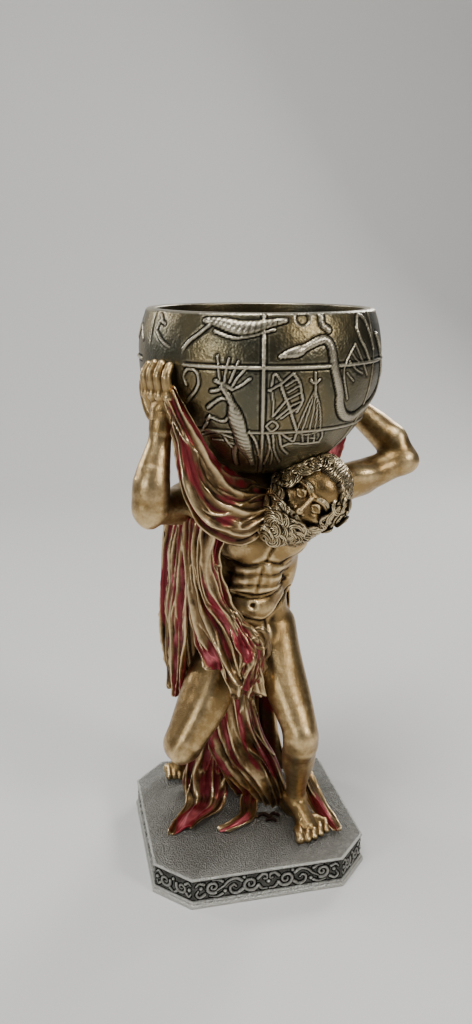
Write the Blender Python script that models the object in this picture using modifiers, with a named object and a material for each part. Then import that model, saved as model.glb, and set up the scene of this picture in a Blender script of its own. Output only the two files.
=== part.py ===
# A kneeling man bears the star globe: a cast statuette whose globe is cut open above its equator, as a bowl.
# Three cast pieces: the plinth with cut corners, the man with his cloak, and the globe bowl on him.
# The front looks along -Y, his left hand is towards +X, and the origin is under the middle of the plinth.
import math

import bmesh
import bpy
import numpy as np
from mathutils import Matrix, Vector

MM = 0.001

# Driving dimensions, in metres.
PLINTH_WIDTH = 0.115
PLINTH_DEPTH = 0.112
PLINTH_CORNER = 0.017
PLINTH_HEIGHT = 0.017
FOOT_MOULDING_HEIGHT = 0.0040
FOOT_MOULDING_PROJECTION = 0.0015
DECK_EDGE_HEIGHT = 0.0014
DECK_EDGE_PROJECTION = 0.0005
FIGURE_HEIGHT = 0.245
GLOBE_RADIUS = 0.0600
GLOBE_WALL = 0.0045
RIM_RISE = 0.0224
RIM_BEVEL = 0.0006
BOWL_FLOOR_RADIUS = 0.020
RING_HEIGHT = 0.0006
RING_WIDTH = 0.0012
LINE_RADIUS = 0.00075
SCROLL_RADIUS = 0.0010
SEAT_GAP = 0.0003

# The pose is drawn in millimetres for a man 245 mm tall on a 17 mm deck, and scaled to FIGURE_HEIGHT.
DRAWN_FIGURE_HEIGHT = 0.245
DRAWN_DECK = 17.0
POSE_SCALE = FIGURE_HEIGHT / DRAWN_FIGURE_HEIGHT
CARRY_POINT = (6.0, -1.6, 217.6)
CLAY_VOXEL = 0.00105
FIGURE_TRIANGLES = 5500
HEAD_DETAIL = 0.03

BRONZE = ((0.42, 0.29, 0.13), 0.36, 1.0)
DARK_BRONZE = ((0.24, 0.20, 0.13), 0.42, 1.0)
PEWTER = ((0.20, 0.19, 0.17), 0.45, 1.0)


def at(x, y, z):
    """A point of the pose, from drawn millimetres."""
    return Vector((x, y, z - DRAWN_DECK)) * MM * POSE_SCALE + Vector((0, 0, PLINTH_HEIGHT))


def long(millimetres):
    """A drawn length."""
    return millimetres * MM * POSE_SCALE


GLOBE_CENTRE = at(*CARRY_POINT) + Vector((0, 0, GLOBE_RADIUS))


def on_globe(longitude, latitude, lift=0.0):
    """A point over the globe, from degrees of longitude (-90 is the front) and latitude."""
    lon, lat = math.radians(longitude), math.radians(latitude)
    out = Vector((math.cos(lon) * math.cos(lat), math.sin(lon) * math.cos(lat), math.sin(lat)))
    return GLOBE_CENTRE + out * (GLOBE_RADIUS + lift)


def clear_scene():
    for obj in list(bpy.data.objects):
        bpy.data.objects.remove(obj)


def new_collection(name, hidden=False):
    made = bpy.data.collections.new(name)
    made.hide_render = hidden
    bpy.context.scene.collection.children.link(made)
    return made


def material(name, finish):
    colour, roughness, metallic = finish
    made = bpy.data.materials.new(name)
    made.use_nodes = True
    shader = made.node_tree.nodes["Principled BSDF"]
    shader.inputs["Base Color"].default_value = (*colour, 1)
    shader.inputs["Roughness"].default_value = roughness
    shader.inputs["Metallic"].default_value = metallic
    return made


def object_from(bm, name, collection):
    mesh = bpy.data.meshes.new(name)
    bm.to_mesh(mesh)
    bm.free()
    obj = bpy.data.objects.new(name, mesh)
    collection.objects.link(obj)
    return obj


def as_cutter(obj):
    obj.hide_render = True
    obj.display_type = "WIRE"
    return obj


def add_boolean(obj, other, operation):
    cut = obj.modifiers.new(operation.lower(), "BOOLEAN")
    cut.operation = operation
    cut.solver = "EXACT"
    cut.use_self = operation == "UNION"
    cut.object = other


def join_into(bm, piece):
    """Adds a finished piece to the growing mesh."""
    mesh = bpy.data.meshes.new("piece")
    piece.to_mesh(mesh)
    piece.free()
    bm.from_mesh(mesh)
    bpy.data.meshes.remove(mesh)


def ball(bm, centre, radii, turn=None, segments=16):
    """An ellipsoid, turned by a 3x3 matrix."""
    size = Matrix.Diagonal((*radii, 1))
    turned = turn.to_4x4() if turn else Matrix.Identity(4)
    piece = bmesh.new()
    bmesh.ops.create_uvsphere(
        piece, u_segments=segments, v_segments=segments // 2, radius=1,
        matrix=Matrix.Translation(centre) @ turned @ size,
    )
    join_into(bm, piece)


def through(points, count):
    """Catmull-Rom points along the first axis of an array, count of them."""
    last = len(points) - 1
    padded = np.concatenate([2 * points[:1] - points[1:2], points, 2 * points[-1:] - points[-2:-1]])
    place = np.linspace(0, last, count)
    index = np.minimum(place.astype(int), last - 1)
    t = (place - index).reshape((-1,) + (1,) * (points.ndim - 1))
    a, b, c, d = (padded[index + k] for k in range(4))
    square, cube = 2 * a - 5 * b + 4 * c - d, 3 * b - a - 3 * c + d
    return 0.5 * (2 * b + (c - a) * t + square * t**2 + cube * t**3)


def tube(bm, points, radii, resolution=2, rounded=None):
    """A tube of changing radius through the points, with a ball at every so many of them.

    It is a curve's bevel, made a mesh with its caps welded.
    """
    curve = bpy.data.curves.new("guide", "CURVE")
    curve.dimensions = "3D"
    curve.bevel_depth = 1
    curve.bevel_resolution = resolution
    curve.use_fill_caps = True
    spline = curve.splines.new("POLY")
    spline.points.add(len(points) - 1)
    for point, where, radius in zip(spline.points, points, radii):
        point.co = (*where, 1)
        point.radius = radius
    guide = bpy.data.objects.new("guide", curve)
    mesh = bpy.data.meshes.new_from_object(guide)
    bpy.data.objects.remove(guide)
    bpy.data.curves.remove(curve)
    piece = bmesh.new()
    piece.from_mesh(mesh)
    bmesh.ops.remove_doubles(piece, verts=piece.verts, dist=1e-6)
    bmesh.ops.recalc_face_normals(piece, faces=piece.faces)
    bpy.data.meshes.remove(mesh)
    join_into(bm, piece)
    if rounded:
        for where, radius in list(zip(points, radii))[::rounded]:
            ball(bm, where, (radius,) * 3)


def limb(bm, *stations):
    """A rounded limb that runs smoothly through drawn stations (x, y, z, radius), in millimetres."""
    path = through(np.array(stations, float), 4 * len(stations) - 3)
    points = [at(x, y, z) for x, y, z, _ in path]
    tube(bm, points, [long(r) for *_, r in path], resolution=4, rounded=4)


def muscle(bm, centre, radii):
    ball(bm, at(*centre), [long(r) for r in radii])


# The man.
# The head's place, tilt and size come from the outline of its hair and beard.
HEAD_CENTRE = (24, -29.5, 209.5)
HEAD_SIZE = 1.15
FACE_FORWARD = Vector((-0.28, -0.95, 0.10)).normalized()
CROWN_UP = Vector((0.72, -0.14, 0.68))


def head_turn():
    """The head's own axes: X to his left, Y to the back of the head, Z to the crown."""
    back = -FACE_FORWARD
    up = (CROWN_UP - CROWN_UP.dot(back) * back).normalized()
    left = back.cross(up)
    return Matrix((left, back, up)).transposed()


def torso(bm):
    limb(bm, (6, 3, 128, 13.5), (2, -2, 146, 13), (2, -5, 160, 14), (6, -5, 180, 15), (8, -2, 196, 12))
    muscle(bm, (6, 3, 129), (20.5, 14.5, 15))
    muscle(bm, (2, -3, 153), (18.0, 13.5, 20))
    muscle(bm, (6, -5, 181), (21.5, 16, 23))
    for side, x in ((-1, -5), (1, 17)):
        muscle(bm, (x, -15.5, 186), (11, 7, 9))
        muscle(bm, (x + side * 2, 11, 126), (12, 11, 13))
        muscle(bm, (x + side * 7, 4, 180), (9, 11, 20))
    limb(bm, (-21, 1, 203, 11), (8, 5, 208, 11), (42, 5, 203, 11))
    limb(bm, (9, 0, 206, 9.5), (17, -21, 203, 8.5), (21, -25, 206, 8.5))


def arm(bm, shoulder, elbow, wrist, girths, swell=(0, 0, 0)):
    """Upper arm with its deltoid and biceps, then the forearm, thickest below the elbow."""
    top, bend, end = Vector(shoulder), Vector(elbow), Vector(wrist)
    deltoid, biceps, joint, forearm, thin = girths
    upper = top.lerp(bend, 0.5)
    lower = bend.lerp(end, 0.35) + Vector(swell)
    limb(bm, (*top, deltoid), (*upper, biceps), (*bend, joint), (*lower, forearm), (*end, thin))


def hand(bm, wrist, longitude, thumb_side):
    """Four fingers laid up the globe from the wrist, and the thumb beside them."""
    start = at(*wrist)
    for finger in range(4):
        turn = longitude + (finger - 1.5) * 5.3
        reach = 1.0 - 0.25 * abs(finger - 1.4)
        route = [start, on_globe(turn, -16, long(4.2)), on_globe(turn, -8, long(4.6)),
                 on_globe(turn, -2 + 3 * reach, long(1.4))]
        tube(bm, route, [long(r) for r in (4.2, 3.0, 2.5, 1.9)], rounded=1)
    thumb = [start, on_globe(longitude + thumb_side * 12, -23, long(4.0)),
             on_globe(longitude + thumb_side * 15, -14, long(2.0))]
    tube(bm, thumb, [long(r) for r in (3.8, 3.0, 2.2)], rounded=1)


def leg(bm, hip, knee, ankle, girths):
    top, bend, end = Vector(hip), Vector(knee), Vector(ankle)
    thigh, mid_thigh, joint, calf, thin = girths
    calf_bulge = bend.lerp(end, 0.36) + Vector((0, 2.5, 0))
    limb(bm, (*top, thigh), (*top.lerp(bend, 0.5), mid_thigh), (*bend, joint),
         (*calf_bulge, calf), (*end, thin))


def left_foot(bm):
    """The foot flat on the deck, turned a little outwards."""
    limb(bm, (26, -16, 29, 5.2), (23, -9, 22.5, 5.6))
    limb(bm, (26, -17, 28, 5.4), (27.5, -25, 23.5, 5.2), (29, -31, 20.5, 4.0))
    for toe in range(5):
        x, y = 22.5 + 4.0 * toe, -38.5 + 1.7 * toe
        knuckle = (x + 0.4, y + 5.5, 19.6, 2.7)
        limb(bm, (27 + 2.2 * toe, -27, 20.8, 3.6), knuckle, (x, y, 18.7, 2.3 - 0.15 * toe))


def right_foot(bm):
    """The foot behind him, up on its toes."""
    limb(bm, (-31, 36, 43, 5.2), (-31, 43, 42, 5.4))
    limb(bm, (-31, 38, 40, 5.2), (-31.5, 41, 31, 5.0), (-32, 39, 22, 4.4))
    for toe in range(5):
        x = -25.5 - 3.2 * toe
        limb(bm, (x, 40, 22, 3.2), (x, 33 + 0.8 * toe, 19, 2.2))


def head(bm):
    turn = head_turn()

    def local(x, y, z):
        return at(*HEAD_CENTRE) + turn @ (Vector((x, y, z)) * long(HEAD_SIZE))

    def form(centre, radii):
        ball(bm, local(*centre), [long(r * HEAD_SIZE) for r in radii], turn)

    form((0, 2.5, 4), (12.2, 14.5, 13.5))
    form((0, -4, -6), (9.6, 9.6, 11.5))
    form((0, -11.2, 3.6), (8.5, 2.6, 1.8))
    for side in (-1, 1):
        form((side * 6.2, -9.6, -3.6), (3.4, 3.0, 3.0))
        form((side * 11.8, 1, -1), (2.0, 3.0, 4.2))
    tube(bm, [local(0, -12.8, 2.5), local(0, -17.0, -4.6)], [long(2.0), long(2.9)], rounded=1)
    curl_hair(form)


def curl_hair(form):
    """Curls round the scalp on a golden spiral, then the beard in rows along the jaw, and the moustache."""
    curls = 86
    for step in range(curls):
        height = 1 - 1.45 * (step + 0.5) / curls
        around = step * math.radians(137.5)
        level = math.sqrt(1 - height * height)
        x, y = level * math.cos(around), level * math.sin(around)
        if y < -0.4 and height < 0.72:
            continue
        form((x * 13.6, 2.8 + y * 15.2, 3.6 + height * 14.6), (2.7, 2.7, 2.7))
    rows = ((9, 84, -8.5, 11.0), (8, 66, -13.5, 11.5), (5, 44, -18.0, 10.0))
    for row, (count, spread, drop, out) in enumerate(rows):
        for step in range(count):
            angle = math.radians(spread * (2 * step / (count - 1) - 1))
            form((math.sin(angle) * out, -3.5 - math.cos(angle) * (out - row), drop), (2.8, 2.8, 3.0))
    for side in (-1, 1):
        form((side * 3.2, -13.4, -7.6), (3.6, 1.9, 1.6))


# The cloak. Each fall of cloth is a net of drawn points, one row for each step down and across in each row.
SWAG = (
    ((-44, -39, 267), (-45, -40, 264), (-45.5, -38, 261), (-45, -34, 258)),
    ((-38, -41, 253), (-39, -43, 249), (-40, -43, 245), (-41, -38, 240)),
    ((-29, -35, 236), (-32, -43, 230), (-36, -46, 224), (-37, -42, 216)),
    ((-22, -29, 227), (-24, -41, 219), (-27, -46, 210), (-29, -42, 201)),
    ((-12, -23, 219), (-12, -36, 212), (-14, -42, 203), (-15, -37, 192)),
    ((-3, -20, 214), (-2, -30, 210), (-1, -35, 203), (-1, -33, 196)),
    ((8, -16, 209), (9, -22, 207), (9, -26, 203), (9, -25, 199)),
)
SASH = (
    ((-36, -24, 202), (-31, -31, 200), (-25, -34, 197), (-19, -31, 193)),
    ((-36, -21, 180), (-31, -28, 179), (-26, -30, 178), (-20, -25, 177)),
    ((-35, -19, 160), (-29, -26, 159), (-22, -27, 158), (-14, -22, 157)),
    ((-32, -18, 142), (-24, -27, 142), (-15, -28, 143), (-6, -23, 144)),
    ((-30, -19, 129), (-21, -28, 127), (-11, -31, 126), (0, -25, 130)),
    ((-28, -21, 120), (-20, -29, 116), (-9, -31, 112), (3, -27, 107)),
)
SIDE_FALL = (
    ((-40, 6, 198), (-35, -4, 200), (-30, -12, 200)),
    ((-43, 8, 180), (-38, -4, 181), (-31, -14, 181)),
    ((-45, 10, 160), (-39, -4, 160), (-32, -12, 160)),
    ((-46, 11, 136), (-40, -1, 137), (-33, -10, 138)),
    ((-43, 13, 112), (-40, 4, 112), (-34, -4, 116)),
    ((-40, 15, 92), (-39, 9, 91), (-36, 4, 92)),
)
BACK_FALL = (
    ((-38, 6, 203), (-22, 13, 210), (4, 16, 212), (28, 14, 211), (46, 8, 208)),
    ((-43, 9, 184), (-24, 18, 188), (4, 22, 190), (26, 18, 188), (38, 11, 188)),
    ((-45, 11, 160), (-24, 21, 160), (2, 24, 160), (20, 20, 160), (27, 12, 162)),
    ((-46, 12, 132), (-24, 25, 132), (0, 28, 132), (19, 23, 132), (29, 14, 134)),
    ((-40, 16, 100), (-24, 29, 100), (-4, 32, 100), (14, 26, 100), (24, 16, 102)),
    ((-24, 20, 64), (-16, 31, 64), (-2, 35, 64), (13, 29, 64), (24, 20, 66)),
    ((-22, 24, 34), (-12, 34, 34), (2, 37, 34), (16, 31, 34), (29, 20, 34)),
    ((-24, 28, 17), (-12, 41, 17), (4, 45, 17), (21, 38, 17), (38, 24, 17)),
)
FRONT_FALL = (
    ((-20, -8, 116), (-12, -10, 116), (-3, -10, 114), (6, -8, 112)),
    ((-21, -14, 98), (-13, -18, 97), (-4, -18, 95), (5, -14, 92)),
    ((-23, -9, 74), (-12, -15, 73), (1, -16, 72), (14, -11, 69)),
    ((-18, -2, 54), (-8, -8, 54), (6, -10, 54), (20, -8, 52)),
    ((-6, 5, 36), (2, -1, 36), (12, -4, 37), (22, -4, 37)),
    ((2, 8, 22), (9, 3, 22), (17, 1, 21), (26, 0, 20)),
)
TAIL = (
    ((-26, 3, 68), (-22, 0, 66), (-18, -1, 64), (-13, -1, 60)),
    ((-31, 12, 44), (-25, 8, 42), (-18, 6, 40), (-9, 6, 38)),
    ((-34, 14, 26), (-26, 8, 25), (-18, 5, 24), (-9, 4, 23)),
    ((-33, 6, 19), (-28, 1, 19.5), (-21, -3, 19.5), (-14, -4, 19)),
    ((-40, -6, 19), (-36, -9, 19.5), (-31, -11, 19.5), (-25, -9, 19)),
    ((-45, -15, 18), (-42, -18, 18.5), (-38, -19, 18.5), (-34, -17, 18)),
)
RIGHT_TAIL = (
    ((30, 6, 34), (34, 5, 35), (38, 6, 33)),
    ((33, -6, 25), (37, -7, 27), (42, -5, 24)),
    ((37, -20, 20), (40, -21, 22), (45, -20, 20)),
    ((43, -35, 18), (45, -36, 18.5), (47, -36, 18)),
)
NECK_FALL = (
    ((30, -2, 212), (37, -6, 214), (44, -4, 213)),
    ((32, -6, 223), (40, -10, 225), (47, -6, 224)),
    ((36, -10, 234), (43, -12, 236), (50, -6, 236)),
)
DECK_TONGUE = ((7, 5, 22, 3.0), (1, -3, 20, 2.2), (-1, -12, 20, 2.2), (-8, -17, 20, 2.8), (-18, -21, 18.5, 1.6))
HEM_ROLL = (
    (-9, -25, 142, 2.2), (-3, -27, 134, 3.0), (0, -28, 126, 2.4), (-3, -29, 118, 3.4), (-8, -27, 112, 2.4),
)
CLOTH_THICKNESS = 2.6


def cloth(bm, net, folds, depth, down=30, across=40, lean=0.0, sway=0.03):
    """A closed sheet over the net, with rounded folds that sway and sharp valleys between them."""
    rows = through(np.array(net, float), down)
    grid = through(rows.transpose(1, 0, 2), across).transpose(1, 0, 2)
    side = np.gradient(grid, axis=1)
    fall = np.gradient(grid, axis=0)
    normal = np.cross(side, fall)
    normal /= np.linalg.norm(normal, axis=2, keepdims=True) + 1e-9
    u = np.linspace(0, 1, across)[None, :]
    v = np.linspace(0, 1, down)[:, None]
    run = u + lean * v + sway * np.sin(7 * u + 4 * v) + sway * np.sin(2.3 * folds * u - 5 * v)
    ridge = np.abs(np.cos(math.pi * folds * run)) ** 0.7 - 0.5
    folded = grid + normal * (depth * ridge)[:, :, None]
    half = CLOTH_THICKNESS / 2
    sheets = [folded + normal * half, folded - normal * half]
    verts = [[[bm.verts.new(at(*point)) for point in row] for row in sheet] for sheet in sheets]
    top, bottom = verts
    for i in range(down - 1):
        for j in range(across - 1):
            bm.faces.new((top[i][j], top[i][j + 1], top[i + 1][j + 1], top[i + 1][j]))
            bm.faces.new((bottom[i][j], bottom[i + 1][j], bottom[i + 1][j + 1], bottom[i][j + 1]))
    border = [(0, j) for j in range(across - 1)] + [(i, across - 1) for i in range(down - 1)]
    border += [(down - 1, j) for j in range(across - 1, 0, -1)] + [(i, 0) for i in range(down - 1, 0, -1)]
    for (i, j), (k, m) in zip(border, border[1:] + border[:1]):
        bm.faces.new((top[i][j], bottom[i][j], bottom[k][m], top[k][m]))


def cloak(bm):
    cloth(bm, SWAG, folds=4, depth=3.0, lean=0.15)
    cloth(bm, SASH, folds=4, depth=3.0, lean=-0.1)
    cloth(bm, SIDE_FALL, folds=4, depth=2.2)
    cloth(bm, BACK_FALL, folds=9, depth=3.0, down=36, across=70)
    cloth(bm, FRONT_FALL, folds=4, depth=3.0)
    cloth(bm, TAIL, folds=3, depth=2.4)
    cloth(bm, RIGHT_TAIL, folds=2, depth=1.6)
    cloth(bm, NECK_FALL, folds=2, depth=2.0, down=16, across=20)
    limb(bm, *DECK_TONGUE)
    limb(bm, *HEM_ROLL)


def outer_shell(mesh):
    """Drops every loose shell but the largest, such as the hollow left between cloth and body."""
    bm = bmesh.new()
    bm.from_mesh(mesh)
    bm.verts.ensure_lookup_table()
    seen, shells = set(), []
    for start in bm.verts:
        if start in seen:
            continue
        shell, queue = [], [start]
        seen.add(start)
        while queue:
            vert = queue.pop()
            shell.append(vert)
            for edge in vert.link_edges:
                other = edge.other_vert(vert)
                if other not in seen:
                    seen.add(other)
                    queue.append(other)
        shells.append(shell)
    shells.sort(key=len)
    bmesh.ops.delete(bm, geom=[vert for shell in shells[:-1] for vert in shell], context="VERTS")
    bm.to_mesh(mesh)
    bm.free()


def keep_detail(obj, group_name, centre, radius):
    """A vertex group that fades out from a centre, where the thinning spares the mesh."""
    group = obj.vertex_groups.new(name=group_name)
    for vert in obj.data.vertices:
        nearness = 1 - (vert.co - centre).length / radius
        if nearness > 0:
            group.add([vert.index], min(1.0, 2 * nearness), "REPLACE")


def finished_mesh(obj):
    """The object's mesh with its modifiers carried out; the object itself goes."""
    graph = bpy.context.evaluated_depsgraph_get()
    mesh = bpy.data.meshes.new_from_object(obj.evaluated_get(graph))
    mesh.name = obj.name
    bpy.data.objects.remove(obj)
    return mesh


def build_figure(parts, cutters):
    clay = bmesh.new()
    torso(clay)
    arm(clay, (-21, -2, 203), (-55, -36, 210), (-47.5, -32, 247), (11.5, 10, 8.2, 8.6, 5.2))
    arm(clay, (42, 5, 203), (89, 6, 218), (62, 29, 248), (11.5, 9.2, 8.2, 8.8, 6.0), swell=(2, 0, 1.5))
    hand(clay, (-47.5, -32, 248), longitude=-152, thumb_side=-1)
    hand(clay, (61, 30, 250), longitude=33, thumb_side=1)
    leg(clay, (20, 1, 128), (21.3, -36, 84), (26, -17, 30), (13, 12.6, 9.6, 9.2, 5.2))
    leg(clay, (-8, 4, 125), (-38, -17, 73), (-31, 36, 44), (13.5, 13, 10.4, 9, 5.2))
    left_foot(clay)
    right_foot(clay)
    head(clay)
    cloak(clay)
    rough = object_from(clay, "atlas_clay", cutters)
    fuse = rough.modifiers.new("fuse", "REMESH")
    fuse.mode = "VOXEL"
    fuse.voxel_size = CLAY_VOXEL * POSE_SCALE
    soften = rough.modifiers.new("soften", "SMOOTH")
    soften.factor = 0.5
    soften.iterations = 2
    mesh = finished_mesh(rough)
    outer_shell(mesh)
    figure = bpy.data.objects.new("atlas_figure", mesh)
    parts.objects.link(figure)
    keep_detail(figure, "head_and_hair", at(*HEAD_CENTRE), long(25))
    mesh.calc_loop_triangles()
    thin = figure.modifiers.new("thin", "DECIMATE")
    thin.ratio = FIGURE_TRIANGLES / len(mesh.loop_triangles)
    thin.vertex_group = "head_and_hair"
    thin.invert_vertex_group = True
    thin.vertex_group_factor = HEAD_DETAIL
    hollow = [(0.0, RIM_RISE + SEAT_GAP), *globe_outline(SEAT_GAP)]
    seat = as_cutter(turned("globe_seat", cutters, hollow))
    add_boolean(figure, seat, "DIFFERENCE")
    ground = bmesh.new()
    depth = 0.05
    bmesh.ops.create_cube(ground, size=1, matrix=Matrix.Translation((0, 0, PLINTH_HEIGHT + SEAT_GAP - depth / 2))
                          @ Matrix.Diagonal((0.3, 0.3, depth, 1)))
    add_boolean(figure, as_cutter(object_from(ground, "deck_level", cutters)), "DIFFERENCE")
    return figure


# The star map, as strokes of (longitude, latitude) in degrees with a line width in units of LINE_RADIUS.
SERPENT = ((-92, 5), (-86, 7), (-79, 10), (-75, 10), (-72, 5), (-70, -4), (-66, -12), (-64, -19), (-59, -24),
           (-50, -25), (-42, -22), (-33, -19), (-26, -13), (-25, -5), (-29, 4), (-34, 11))
SHIP = (
    ((-95, -6), (-91, -17), (-85, -30)), ((-100, -10), (-90, -3)), ((-90, -3), (-86, -10), (-86, -20)),
    ((-98, -22), (-85, -13)), ((-80, -3), (-79, -28)), ((-92, -38), (-68, -38)),
)
HORSE_BODY = ((-116, -18, 2.6), (-115, -24, 4.2), (-113, -32, 4.6), (-112, -39, 4.4), (-110, -45, 3.2))
HORSE_LINES = (
    ((-122, 4), (-119, -9), (-116, -18)), ((-112, 0), (-118, -12)), ((-126, -17), (-117, -14)),
    ((-118, -35), (-127, -31)),
)
LYRE = ((-138, -9), (-136, -2), (-131, -5), (-134, -13))
RIM_BEAST = ((-125, 18.0, 2.0), (-119, 16.5, 3.4), (-112, 15.0, 4.2), (-104, 16.5, 3.4), (-96, 17.0, 2.2))
RIM_LEG = ((-140, 4), (-134, 11), (-125, 17))
RIBBON = ((-47, 0), (-54, 11), (-51, 18), (-44, 6))
BACK_SIGNS = (
    ((-3, 8), (12, 11), (18, 0), (8, -10)),
    ((50, 10), (60, 2), (70, 10)),
    ((92, 10), (102, -6), (112, 8)),
    ((134, -6), (142, 9), (156, 2), (150, -11)),
)
# Each meridian's longitude, and the latitude where it stops: short of the head, the cloak or a hand.
MERIDIANS = ((-102.5, -58), (-42.5, -44), (17.5, -44), (77.5, -44), (137.5, -44), (197.5, 6))


def globe_outline(grow=0.0):
    """The globe's outside from its rim to its lowest point, with the raised equator and tropic."""
    radius = GLOBE_RADIUS + grow
    rim_angle = math.asin(RIM_RISE / GLOBE_RADIUS)
    half = (RING_WIDTH / 2 + grow) / GLOBE_RADIUS
    lifts = {angle: 0.0 for angle in np.linspace(rim_angle, -math.pi / 2, 11)[1:-1]}
    for middle in (0.0, -math.pi / 6):
        lifts = {angle: lift for angle, lift in lifts.items() if abs(angle - middle) > 2.5 * half}
        lifts.update({middle + 1.5 * half: 0.0, middle: RING_HEIGHT, middle - 1.5 * half: 0.0})
    bevel = RIM_BEVEL / math.cos(rim_angle)
    points = [(radius * math.cos(rim_angle) - RIM_BEVEL, RIM_RISE + grow),
              ((GLOBE_RADIUS * math.cos(rim_angle) + grow), RIM_RISE - bevel)]
    points += [((radius + lifts[angle]) * math.cos(angle), (radius + lifts[angle]) * math.sin(angle))
               for angle in sorted(lifts, reverse=True)]
    return points + [(0.0, -radius)]


def turned(name, collection, profile):
    """A solid turned about the globe's upright axis, from a profile that starts and ends on it."""
    bm = bmesh.new()
    verts = [bm.verts.new((r, 0, z)) for r, z in profile]
    for a, b in zip(verts, verts[1:]):
        bm.edges.new((a, b))
    obj = object_from(bm, name, collection)
    obj.location = GLOBE_CENTRE
    turn = obj.modifiers.new("turn", "SCREW")
    turn.steps = turn.render_steps = 32
    turn.use_merge_vertices = True
    turn.use_smooth_shade = False
    turn.merge_threshold = 1e-5
    return obj


def build_globe(parts, cutters):
    """A turned bowl: flat floor, inside sphere, rim, then the outside down to the lowest point."""
    inner = GLOBE_RADIUS - GLOBE_WALL
    floor_angle = -math.acos(BOWL_FLOOR_RADIUS / inner)
    mouth_angle = math.asin((RIM_RISE - RIM_BEVEL) / inner)
    slopes = np.linspace(floor_angle, mouth_angle, 6)
    inside = [(inner * math.cos(a), inner * math.sin(a)) for a in slopes]
    mouth = (inside[-1][0] + RIM_BEVEL, RIM_RISE)
    profile = [(0.0, inner * math.sin(floor_angle)), *inside, mouth, *globe_outline()]
    globe = turned("globe_bowl", parts, profile[::-1])
    relief = as_cutter(object_from(star_map(), "star_map", cutters))
    add_boolean(globe, relief, "UNION")
    return globe


def star_map():
    """The raised figures and meridians, part sunk in the skin and clear of what touches the globe."""
    bm = bmesh.new()

    def stroke(points, width=1.0, sink=0.2):
        radius = LINE_RADIUS * width
        places = [on_globe(lon, lat, -radius * sink) for lon, lat in points]
        tube(bm, places, [radius] * len(points), resolution=0)

    def body(stations, sink=0.45):
        places = [on_globe(lon, lat, -long(r) * sink) for lon, lat, r in stations]
        tube(bm, places, [long(r) for *_, r in stations], resolution=1)

    slope = math.degrees(math.asin(RIM_RISE / GLOBE_RADIUS))
    for longitude, lowest in MERIDIANS:
        stroke([(longitude, a) for a in np.linspace(slope - 2.5, lowest, 6)], 0.9, sink=0.3)
    stroke(SERPENT[::2] + SERPENT[-1:], 2.6, sink=0.25)
    for line in (*SHIP, *HORSE_LINES, LYRE, RIM_LEG, RIBBON):
        stroke(line)
    for line in BACK_SIGNS:
        stroke(line, 2.0, sink=0.3)
    body(HORSE_BODY)
    body(RIM_BEAST)
    return bm


# The plinth.
def octagon(grow, z):
    """The plinth's outline grown by a margin: a rectangle with its corners cut."""
    a, b = PLINTH_WIDTH / 2 + grow, PLINTH_DEPTH / 2 + grow
    c = PLINTH_CORNER
    return [(-a + c, -b, z), (a - c, -b, z), (a, -b + c, z), (a, b - c, z),
            (a - c, b, z), (-a + c, b, z), (-a, b - c, z), (-a, -b + c, z)]


def scroll(bm, centre, along, size, turns=1.1, points=7):
    """A volute in the face that runs along a direction, unrolling outwards from its eye."""
    up = Vector((0, 0, 1))
    route = []
    for t in np.linspace(0, 1, points):
        angle = 2 * math.pi * turns * t + math.pi / 2
        reach = abs(size) * (0.25 + 0.75 * t)
        sideways = math.copysign(reach, size) * math.cos(angle)
        route.append(centre + along * sideways + up * (reach * math.sin(angle)))
    tube(bm, route, [SCROLL_RADIUS] * points, resolution=0)


def frieze(bm):
    """On each long side volutes back to back with a leaf stem on each, and a volute on each cut corner."""
    low = FOOT_MOULDING_HEIGHT
    high = PLINTH_HEIGHT - DECK_EDGE_HEIGHT
    middle = (low + high) / 2
    size = (high - low) / 2 - SCROLL_RADIUS * 1.3
    corners = [Vector(p) for p in octagon(0, middle)]
    for start, end in zip(corners, corners[1:] + corners[:1]):
        along = (end - start).normalized()
        length = (end - start).length
        centre = (start + end) / 2
        if length < 0.35 * PLINTH_WIDTH:
            scroll(bm, centre, along, size)
            continue
        for side in (-1, 1):
            scroll(bm, centre + along * side * 0.1 * length, along, -side * size)
            scroll(bm, centre + along * side * 0.4 * length, along, side * size)
            rise = Vector((0, 0, size * 0.9))
            stem = [centre + along * side * (0.15 + 0.22 * t) * length + rise * math.sin(math.pi * (1.5 - t * 1.3))
                    for t in np.linspace(0, 1, 5)]
            tube(bm, stem, [SCROLL_RADIUS] * len(stem), resolution=0)


def build_plinth(parts, cutters):
    moulding = FOOT_MOULDING_PROJECTION
    foot = FOOT_MOULDING_HEIGHT
    levels = [(moulding * 0.7, 0), (moulding, foot * 0.2), (moulding, foot * 0.65),
              (moulding * 0.5, foot * 0.95), (0, foot),
              (0, PLINTH_HEIGHT - DECK_EDGE_HEIGHT),
              (DECK_EDGE_PROJECTION, PLINTH_HEIGHT - DECK_EDGE_HEIGHT * 0.7),
              (DECK_EDGE_PROJECTION, PLINTH_HEIGHT - DECK_EDGE_HEIGHT * 0.25),
              (0, PLINTH_HEIGHT)]
    bm = bmesh.new()
    rings = [[bm.verts.new(p) for p in octagon(grow, z)] for grow, z in levels]
    for lower, upper in zip(rings, rings[1:]):
        for k in range(8):
            bm.faces.new((lower[k], lower[(k + 1) % 8], upper[(k + 1) % 8], upper[k]))
    bm.faces.new(rings[0][::-1])
    bm.faces.new(rings[-1])
    plinth = object_from(bm, "plinth", parts)
    scrolls = bmesh.new()
    frieze(scrolls)
    add_boolean(plinth, as_cutter(object_from(scrolls, "frieze_scrolls", cutters)), "UNION")
    return plinth


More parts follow.
